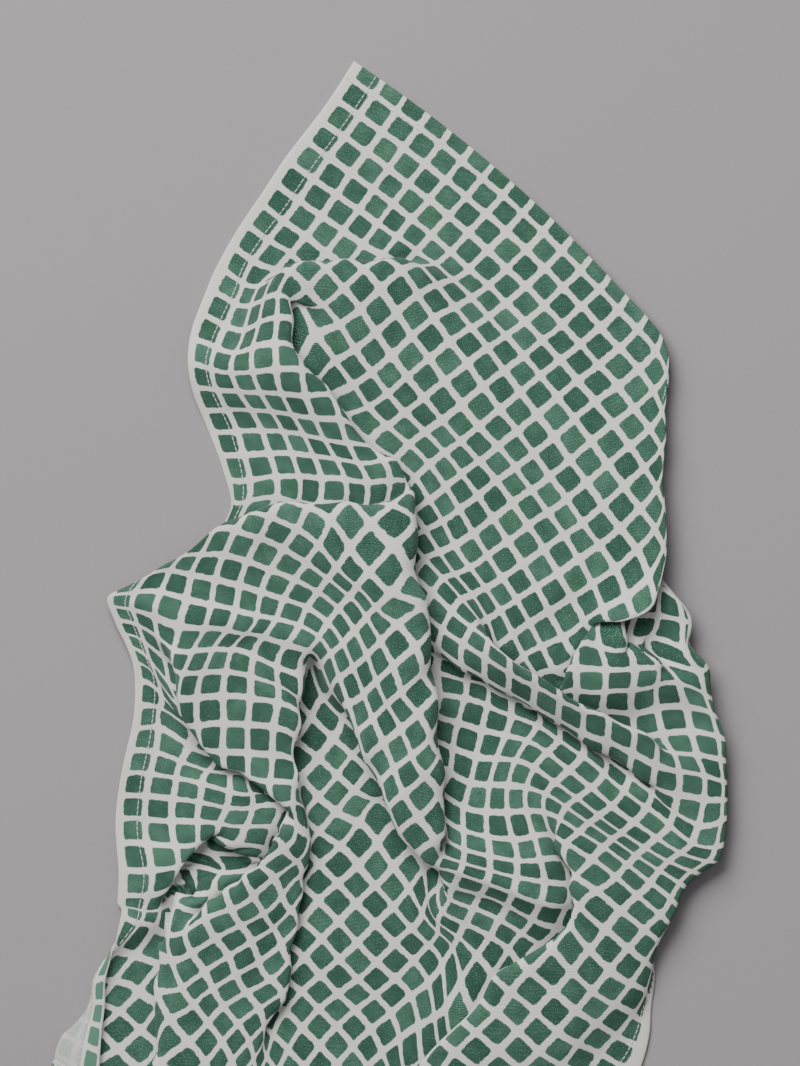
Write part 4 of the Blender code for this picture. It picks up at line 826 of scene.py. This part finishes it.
class FineCloth:
    """The towel's fine sheet: its grid lines, its middle surface and its two sides."""

    def __init__(self):
        coarse_rows = np.linspace(FIRST_ROW, LAST_ROW, CELLS_DOWN + 1)
        coarse_columns = np.linspace(LEFT_HEM, RIGHT_HEM, CELLS_ACROSS + 1)
        rest_down = (coarse_rows[1] - coarse_rows[0]) * PITCH
        rest_across = (coarse_columns[1] - coarse_columns[0]) * PITCH
        coarse_table = table_sheet(coarse_rows, coarse_columns)
        coarse = settled(coarse_table, rest_down, rest_across)
        self.rows = fine_lines(FIRST_ROW, LAST_ROW, 1.0)
        self.columns = fine_lines(LEFT_HEM, RIGHT_HEM, WIDE_HEM)
        shape = (len(self.rows), len(self.columns))
        down = catmull_weights(coarse_rows, self.rows)
        across = catmull_weights(coarse_columns, self.columns)
        moved = np.einsum("ri,ijk,cj->rck", down, coarse - coarse_table, across)
        sheet = table_sheet(self.rows, self.columns) + moved
        keep_up(sheet)
        self.cloth_mm = grid_places(self.rows, self.columns) * PITCH
        triangles = sheet_triangles(*shape)[0]
        for _ in range(FINE_PASSES):
            change = lift_apart(sheet, self.cloth_mm, triangles)
            sheet[:, :, 2] += even_out(change[:, :, None])[:, :, 0]
            keep_up(sheet)
        height = rumpled(self.cloth_mm).reshape(shape)
        sheet = sheet + height[:, :, None] * sheet_normals(sheet)
        keep_up(sheet)
        self.shift = shift_to_origin(thick_places(coarse))
        self.middle = (sheet + self.shift) * MILLIMETRE
        self.normals = sheet_normals(self.middle)

    def edge_distance(self):
        """Distance of each place from the nearest edge of the panel, in millimetres."""
        rows = np.minimum(self.rows - FIRST_ROW, LAST_ROW - self.rows)
        columns = np.minimum((self.columns - LEFT_HEM) / WIDE_HEM, RIGHT_HEM - self.columns)
        return np.minimum(rows[:, None], columns[None, :]) * PITCH

    def side(self, field):
        """Places of the print side or the reverse side, with the hem's own thickness."""
        distances = [line.distance for line in HEM_PROFILE]
        heights = [getattr(line, field) * MILLIMETRE for line in HEM_PROFILE]
        height = np.interp(self.edge_distance(), distances, heights)
        return self.middle + height[:, :, None] * self.normals


# ---- pieces.

def add_mesh(name, vertices, faces, materials):
    """A mesh object in the scene, smooth-shaded, from lists of vertices and of faces."""
    mesh = bpy.data.meshes.new(name)
    mesh.from_pydata(vertices, [], faces)
    for material in materials:
        mesh.materials.append(material)
    mesh.shade_smooth()
    mesh.update()
    piece = bpy.data.objects.new(name, mesh)
    bpy.context.scene.collection.objects.link(piece)
    return piece


def add_towel(cloth, print_side, reverse_side):
    """The towel: print side, reverse side and the turned edge between them."""
    shape = cloth.middle.shape[:2]
    count = shape[0] * shape[1]
    vertices = np.concatenate([
        cloth.side("print_side").reshape(-1, 3),
        cloth.side("reverse_side").reshape(-1, 3),
    ])
    vertices[:, 2] = np.maximum(vertices[:, 2], 0.0)
    upper = folded_triangles(cloth.middle)
    lower = upper[:, ::-1] + count
    rim = rim_triangles(*shape)
    faces = np.concatenate([upper, lower, rim])
    piece = add_mesh("towel", vertices.tolist(), faces.tolist(), [print_side, reverse_side])
    sides = np.zeros(len(piece.data.polygons), dtype=np.int32)
    sides[len(upper):len(upper) + len(lower)] = 1
    piece.data.polygons.foreach_set("material_index", sides)
    places = np.zeros((2 * count, 3), dtype=np.float32)
    places[:, 0] = np.tile(cloth.cloth_mm[:, 1] / PITCH, 2)
    places[:, 1] = np.tile(cloth.cloth_mm[:, 0] / PITCH, 2)
    attribute = piece.data.attributes.new("cloth", "FLOAT_VECTOR", "POINT")
    attribute.data.foreach_set("vector", places.ravel())
    return piece


STITCH_PITCH = 3.0            # millimetres from one stitch to the next
STITCH_START = 0.15           # share of the pitch before the first stitch
STITCH_LENGTH = 2.3
STITCH_RADIUS = 0.24
STITCH_SIDES = 6
# Places along one stitch: share of its length, and its height over the cloth in radii.
STITCH_ARC = ((0.0, -0.9), (0.12, 0.35), (0.5, 0.75), (0.88, 0.35), (1.0, -0.9))


def hem_runs():
    """The four stitched lines, each from one place of the cloth to another: row, column."""
    inset = STITCH_LINE / PITCH
    top = FIRST_ROW + inset
    bottom = LAST_ROW - inset
    left = LEFT_HEM + inset * WIDE_HEM
    right = RIGHT_HEM - inset
    return (
        ((FIRST_ROW, left), (LAST_ROW, left)),
        ((FIRST_ROW, right), (LAST_ROW, right)),
        ((top, LEFT_HEM), (top, RIGHT_HEM)),
        ((bottom, LEFT_HEM), (bottom, RIGHT_HEM)),
    )


def on_sheet(values, rows, columns, row, column):
    """Values of a grid between its lines, at the given rows and columns."""
    i = np.clip(np.searchsorted(rows, row) - 1, 0, len(rows) - 2)
    j = np.clip(np.searchsorted(columns, column) - 1, 0, len(columns) - 2)
    u = ((row - rows[i]) / (rows[i + 1] - rows[i]))[:, None]
    v = ((column - columns[j]) / (columns[j + 1] - columns[j]))[:, None]
    near = values[i, j] * (1 - v) + values[i, j + 1] * v
    far = values[i + 1, j] * (1 - v) + values[i + 1, j + 1] * v
    return near * (1 - u) + far * u


def tube_faces(ring_count):
    """Faces of a closed tube: its sides from ring to ring, and its two ends."""
    faces = []
    last = (ring_count - 1) * STITCH_SIDES
    for here in range(0, last, STITCH_SIDES):
        ahead = here + STITCH_SIDES
        for side in range(STITCH_SIDES):
            following = (side + 1) % STITCH_SIDES
            faces.append((here + side, here + following, ahead + following, ahead + side))
    faces.append(range(STITCH_SIDES)[::-1])
    faces.append(range(last, last + STITCH_SIDES))
    return faces


def add_stitches(cloth, material):
    """The hem's sewing thread: a short arched length for each stitch, on both sides."""
    vertices = []
    faces = []
    angles = np.linspace(0.0, 2.0 * math.pi, STITCH_SIDES, endpoint=False)[:, None]
    cosines = np.cos(angles)
    sines = np.sin(angles)
    stitch_faces = tube_faces(len(STITCH_ARC))
    for start, end in hem_runs():
        length = math.dist(start, end) * PITCH
        count = int(length / STITCH_PITCH)
        first = (np.arange(count) + STITCH_START)[:, None] * STITCH_PITCH / length
        shares = np.array([share for share, _ in STITCH_ARC])
        t = first + shares[None, :] * STITCH_LENGTH / length
        row = mix(start[0], end[0], t).ravel()
        column = mix(start[1], end[1], t).ravel()
        lift = np.tile([height for _, height in STITCH_ARC], count)[:, None] * STITCH_RADIUS
        for field, sign in (("print_side", 1.0), ("reverse_side", -1.0)):
            place = on_sheet(cloth.side(field), cloth.rows, cloth.columns, row, column)
            normal = on_sheet(cloth.normals, cloth.rows, cloth.columns, row, column) * sign
            place = place + lift * normal * MILLIMETRE
            place = place.reshape(count, len(STITCH_ARC), 3)
            normal = normal.reshape(place.shape)
            along = unit(np.gradient(place, axis=1))
            beside = unit(np.cross(along, normal))
            over = np.cross(beside, along)
            round_about = cosines * beside[:, :, None] + sines * over[:, :, None]
            rings = place[:, :, None] + round_about * STITCH_RADIUS * MILLIMETRE
            for stitch in rings.reshape(count, -1, 3):
                if stitch[:, 2].min() > 0.0:
                    base = len(vertices)
                    vertices.extend(stitch.tolist())
                    faces += [[base + corner for corner in face] for face in stitch_faces]
    return add_mesh("hem_stitches", vertices, faces, [material])


# ---- materials: the print, its paler reverse, and the sewing thread.

PRINT_GREEN = (0.110, 0.265, 0.178, 1.0)
PRINT_GREEN_DEEP = (0.018, 0.076, 0.047, 1.0)
GROUND = (0.84, 0.85, 0.785, 1.0)
GROUND_SHADE = (0.66, 0.63, 0.60, 1.0)
REVERSE_GROUND = (0.72, 0.71, 0.68, 1.0)
REVERSE_GREEN = (0.30, 0.42, 0.36, 1.0)
THREAD_WHITE = (0.74, 0.74, 0.71, 1.0)
THREAD_SHADE = (0.62, 0.62, 0.58, 1.0)
LAST_COLUMN = 32              # the last printed one
SQUARE_HALF = 0.386           # half of a printed square, in squares' pitch
SQUARE_POWER = 7.0            # how square its outline is: 2 would be a circle
DRIFT_REACH = 0.10            # squares that the lattice wanders, slowly
RAGGED_REACH = 0.10           # and that the outline wanders, quickly
SHIFT_REACH = 0.035           # and that one square lies off its place
PRINT_EDGE = 0.045            # half of the soft edge of a square, in shares of its half
SEEPED_EDGE = 0.16            # the same for the print seen through from behind
TURNED_EDGE = 0.06            # and on the hem's turned side
# Depth of the ink: shares of the square's own chance, of patches, speckles and the weave.
CHANCE_DEPTH = 0.25
PATCH_DEPTH = 0.55
SPECKLE_DEPTH = 0.9
DEPTH_OFFSET = -0.42
WEAVE_DEPTH = -0.36
# Limits of smooth steps and, where given, the values before and after them.
INK_STEP = (0.05, 0.80)
WORN_STEP = (0.56, 0.76, 1.0, 0.66)
GROUND_STEP = (0.4, 1.4, 0.35, 1.0)
SEEPED_STEP = (0.35, 0.68, 0.15, 0.75)
TURNED_START = 0.43           # squares from the edge to the turned side's first square
TURNED_SCALE = 1.35           # and how much closer its squares lie there
HEM_EDGE = 0.02               # half of the soft edge of the hem's turned side, in squares
TWILL_PITCH = 0.65            # millimetres between two ridges of the weave
TWILL_WAVER = 1.2             # radians that the ridges waver
WEAVE_RELIEF = 0.6            # the weave's share in the relief, beside the fuzz
# Numbers of a mix node's sockets for colours.
MIX_FIRST = 6
MIX_SECOND = 7
MIX_RESULT = 2


class Graph:
    """Adds nodes to one material and wires them."""

    def __init__(self, name):
        self.material = bpy.data.materials.new(name)
        self.material.use_nodes = True
        self.tree = self.material.node_tree
        self.shader = self.tree.nodes["Principled BSDF"]

    def node(self, kind, **settings):
        """One node with its settings."""
        node = self.tree.nodes.new(kind)
        for name, value in settings.items():
            setattr(node, name, value)
        return node

    def feed(self, socket, value):
        """Wire a socket, or a number, into another socket."""
        if isinstance(value, bpy.types.NodeSocket):
            self.tree.links.new(value, socket)
        else:
            socket.default_value = value

    def math(self, operation, *values):
        """The result of one Math node."""
        node = self.node("ShaderNodeMath", operation=operation)
        for socket, value in zip(node.inputs, values):
            self.feed(socket, value)
        return node.outputs[0]

    def vector(self, operation, first, second=None, scale=None):
        """The result of one Vector Math node."""
        node = self.node("ShaderNodeVectorMath", operation=operation)
        self.feed(node.inputs[0], first)
        if second is not None:
            self.feed(node.inputs[1], second)
        if scale is not None:
            node.inputs["Scale"].default_value = scale
        return node.outputs[0]

    def smooth(self, value, low, high, from_value=0.0, to_value=1.0):
        """A smooth step of a value between two limits."""
        node = self.node("ShaderNodeMapRange", interpolation_type="SMOOTHSTEP")
        for name, entry in (("Value", value), ("From Min", low), ("From Max", high),
                            ("To Min", from_value), ("To Max", to_value)):
            self.feed(node.inputs[name], entry)
        return node.outputs["Result"]

    def noise(self, place, scale, detail=2.0, rough=0.5):
        """Smooth noise at a place: its value and its colour."""
        node = self.node("ShaderNodeTexNoise")
        self.feed(node.inputs["Vector"], place)
        node.inputs["Scale"].default_value = scale
        node.inputs["Detail"].default_value = detail
        node.inputs["Roughness"].default_value = rough
        return node.outputs["Fac"], node.outputs["Color"]

    def blend(self, share, first, second):
        """A colour between two colours."""
        node = self.node("ShaderNodeMix", data_type="RGBA")
        self.feed(node.inputs["Factor"], share)
        self.feed(node.inputs[MIX_FIRST], first)
        self.feed(node.inputs[MIX_SECOND], second)
        return node.outputs[MIX_RESULT]

    def parts(self, place):
        """The three numbers of a place."""
        node = self.node("ShaderNodeSeparateXYZ")
        self.feed(node.inputs[0], place)
        return node.outputs

    def join(self, x, y):
        """A place from two numbers."""
        node = self.node("ShaderNodeCombineXYZ")
        self.feed(node.inputs[0], x)
        self.feed(node.inputs[1], y)
        return node.outputs[0]

    def push(self, colour, reach):
        """A push in any direction from a random colour, half of reach each way."""
        centred = self.vector("SUBTRACT", colour, (0.5, 0.5, 0.5))
        return self.vector("SCALE", centred, scale=reach)


def cloth_place(graph):
    """The place on the flat panel: column, row and nothing."""
    node = graph.node("ShaderNodeAttribute", attribute_name="cloth")
    return node.outputs["Vector"]


def printed_squares(graph, place, edge):
    """How much ink lies at a place of the lattice, and a random number for each square."""
    _, slow = graph.noise(place, scale=0.9, detail=1.0)
    _, quick = graph.noise(place, scale=5.5)
    drifted = graph.vector("ADD", place, graph.push(slow, DRIFT_REACH))
    moved = graph.vector("ADD", drifted, graph.push(quick, RAGGED_REACH))
    number = graph.vector("FLOOR", graph.vector("ADD", moved, (0.5, 0.5, 0.0)))
    chance = graph.node("ShaderNodeTexWhiteNoise", noise_dimensions="2D")
    graph.feed(chance.inputs["Vector"], number)
    shift = graph.push(chance.outputs["Color"], SHIFT_REACH)
    inside = graph.vector("SUBTRACT", graph.vector("SUBTRACT", moved, number), shift)
    x, y, _ = graph.parts(graph.vector("ABSOLUTE", inside))
    across, down = (
        graph.math("POWER", graph.math("DIVIDE", value, SQUARE_HALF), SQUARE_POWER)
        for value in (x, y)
    )
    reach = graph.math("POWER", graph.math("ADD", across, down), 1.0 / SQUARE_POWER)
    ink = graph.smooth(reach, 1.0 - edge, 1.0 + edge, 1.0, 0.0)
    column, _, _ = graph.parts(number)
    printed = graph.math("MULTIPLY", graph.math("GREATER_THAN", column, -0.5),
                         graph.math("LESS_THAN", column, LAST_COLUMN + 0.5))
    return graph.math("MULTIPLY", ink, printed), chance.outputs["Value"]


def twill(graph, place):
    """Height of the weave's fine diagonal ridges, from nought to one."""
    x, y, _ = graph.parts(place)
    turns = 2.0 * math.pi * PITCH / (TWILL_PITCH * math.sqrt(2.0))
    _, waver = graph.noise(place, scale=3.0, detail=1.0)
    bend = graph.math("MULTIPLY", graph.parts(waver)[0], TWILL_WAVER)
    phase = graph.math("ADD", graph.math("MULTIPLY", graph.math("ADD", x, y), turns), bend)
    return graph.math("MULTIPLY_ADD", graph.math("SINE", phase), 0.5, 0.5)


def finish_cotton(graph, colour, place, weave):
    """Colour, matt finish and fine relief of the cotton."""
    graph.feed(graph.shader.inputs["Base Color"], colour)
    graph.shader.inputs["Roughness"].default_value = 0.88
    graph.shader.inputs["Specular IOR Level"].default_value = 0.25
    graph.shader.inputs["Sheen Weight"].default_value = 0.12
    graph.shader.inputs["Sheen Roughness"].default_value = 0.5
    fuzz, _ = graph.noise(place, scale=28.0, detail=3.0, rough=0.6)
    relief = graph.math("ADD", graph.math("MULTIPLY", weave, WEAVE_RELIEF), fuzz)
    bump = graph.node("ShaderNodeBump")
    bump.inputs["Strength"].default_value = 0.8
    bump.inputs["Distance"].default_value = 0.0003
    graph.feed(bump.inputs["Height"], relief)
    graph.feed(graph.shader.inputs["Normal"], bump.outputs["Normal"])
    return graph.material


def print_side_material():
    """Off-white twill with the lattice of green squares."""
    graph = Graph("cotton_print_side")
    place = cloth_place(graph)
    weave = twill(graph, place)
    ink, chance = printed_squares(graph, place, PRINT_EDGE)
    patchy, _ = graph.noise(place, scale=1.7, detail=3.0)
    speckle, _ = graph.noise(place, scale=24.0, rough=0.7)
    depth = graph.math("MULTIPLY", patchy, PATCH_DEPTH)
    depth = graph.math("MULTIPLY_ADD", chance, CHANCE_DEPTH, depth)
    speckled = graph.math("MULTIPLY_ADD", speckle, SPECKLE_DEPTH, DEPTH_OFFSET)
    depth = graph.math("ADD", depth, speckled)
    depth = graph.math("MULTIPLY_ADD", weave, WEAVE_DEPTH, depth)
    green = graph.blend(graph.smooth(depth, *INK_STEP), PRINT_GREEN_DEEP, PRINT_GREEN)
    share = graph.math("MULTIPLY", ink, graph.smooth(speckle, *WORN_STEP))
    shade = graph.smooth(graph.math("ADD", weave, speckle), *GROUND_STEP)
    ground = graph.blend(shade, GROUND_SHADE, GROUND)
    return finish_cotton(graph, graph.blend(share, ground, green), place, weave)


def reverse_side_material():
    """The paler back: the print shows through, and the turned hem shows it in full."""
    graph = Graph("cotton_reverse_side")
    place = cloth_place(graph)
    weave = twill(graph, place)
    seeped, _ = printed_squares(graph, place, SEEPED_EDGE)
    grain, _ = graph.noise(place, scale=18.0, detail=3.0, rough=0.7)
    seeped = graph.math("MULTIPLY", seeped, graph.smooth(grain, *SEEPED_STEP))
    back = graph.blend(seeped, REVERSE_GROUND, REVERSE_GREEN)
    column, row, _ = graph.parts(place)
    from_side, from_end = (
        graph.math("MINIMUM", graph.math("SUBTRACT", value, first),
                   graph.math("SUBTRACT", last, value))
        for value, first, last in ((column, LEFT_HEM, RIGHT_HEM), (row, FIRST_ROW, LAST_ROW))
    )
    depth = graph.math("MINIMUM", from_side, from_end)
    beside = graph.math("LESS_THAN", from_side, from_end)
    along = graph.math("ADD", graph.math("MULTIPLY", row, beside),
                       graph.math("MULTIPLY", column, graph.math("SUBTRACT", 1.0, beside)))
    inward = graph.math("MULTIPLY", graph.math("SUBTRACT", depth, TURNED_START), TURNED_SCALE)
    turned_ink, _ = printed_squares(graph, graph.join(inward, along), TURNED_EDGE)
    hem_width = HEM_WIDTH / PITCH
    hem = graph.smooth(depth, hem_width - HEM_EDGE, hem_width + HEM_EDGE, 1.0, 0.0)
    turned = graph.blend(turned_ink, GROUND, PRINT_GREEN)
    return finish_cotton(graph, graph.blend(hem, back, turned), place, weave)


def grained(graph, shade, colour, scale, rough):
    """Give a material its colour, with a fine grain of a shade of it."""
    coordinates = graph.node("ShaderNodeTexCoord")
    grain, _ = graph.noise(coordinates.outputs["Object"], scale, rough=rough)
    tone = graph.blend(grain, shade, colour)
    graph.feed(graph.shader.inputs["Base Color"], tone)


def thread_material():
    """White sewing cotton."""
    graph = Graph("sewing_thread")
    graph.shader.inputs["Roughness"].default_value = 0.7
    graph.shader.inputs["Sheen Weight"].default_value = 0.1
    grained(graph, THREAD_SHADE, THREAD_WHITE, scale=2500.0, rough=0.5)
    return graph.material


# ---- stage: a plain floor, soft light from the top left, and a camera straight above.

VIEW_WIDTH_PX = 800
VIEW_HEIGHT_PX = 1066
CAMERA_HEIGHT = 2.0           # metres, as below
FLOOR_GREY = (0.345, 0.325, 0.343, 1.0)
FLOOR_GRAIN = (0.312, 0.294, 0.310, 1.0)
FLOOR_REACH = 4.0
FLOOR_LEVEL = -0.0003         # just under the towel
WORLD_STRENGTH = 0.30
KEY_PLACE = (-0.95, 1.75, 2.05)
KEY_SIZE = 2.2
KEY_POWER = 124.0             # watts
KEY_COLOUR = (1.0, 0.99, 0.97)


def add_floor():
    """A wide plain floor, just under the towel."""
    corners = [(x * FLOOR_REACH, y * FLOOR_REACH, FLOOR_LEVEL)
               for x, y in ((-1, -1), (1, -1), (1, 1), (-1, 1))]
    graph = Graph("floor_grey")
    grained(graph, FLOOR_GRAIN, FLOOR_GREY, scale=900.0, rough=0.6)
    graph.shader.inputs["Roughness"].default_value = 0.95
    graph.shader.inputs["Specular IOR Level"].default_value = 0.1
    add_mesh("floor", corners, [(0, 1, 2, 3)], [graph.material])


def add_key_light():
    """One large square light that faces the towel."""
    lamp = bpy.data.lights.new("key", "AREA")
    lamp.size = KEY_SIZE
    lamp.energy = KEY_POWER
    lamp.color = KEY_COLOUR
    item = bpy.data.objects.new("key", lamp)
    item.location = KEY_PLACE
    item.rotation_euler = (-Vector(KEY_PLACE)).to_track_quat("-Z", "Y").to_euler()
    bpy.context.scene.collection.objects.link(item)


def add_world():
    """Even pale light from all around."""
    world = bpy.data.worlds.new("studio")
    world.use_nodes = True
    background = world.node_tree.nodes["Background"]
    background.inputs["Color"].default_value = (1.0, 1.0, 1.0, 1.0)
    background.inputs["Strength"].default_value = WORLD_STRENGTH
    bpy.context.scene.world = world


def add_camera(shift_mm):
    """A camera straight above, whose frame is the tables' own view of the towel."""
    data = bpy.data.cameras.new("camera")
    data.type = "ORTHO"
    data.sensor_fit = "VERTICAL"
    data.ortho_scale = VIEW_HEIGHT_PX * PIXEL * MILLIMETRE
    camera = bpy.data.objects.new("camera", data)
    middle_x = (0.5 * VIEW_WIDTH_PX * PIXEL + shift_mm[0]) * MILLIMETRE
    middle_y = (-0.5 * VIEW_HEIGHT_PX * PIXEL + shift_mm[1]) * MILLIMETRE
    camera.location = (middle_x, middle_y, CAMERA_HEIGHT)
    bpy.context.scene.collection.objects.link(camera)
    bpy.context.scene.camera = camera


def main():
    cloth = FineCloth()
    towel = add_towel(cloth, print_side_material(), reverse_side_material())
    stitches = add_stitches(cloth, thread_material())
    for piece in (towel, stitches):
        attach(piece, "root")
    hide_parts("cloth")
    add_floor()
    add_world()
    add_key_light()
    add_camera(cloth.shift)


main()
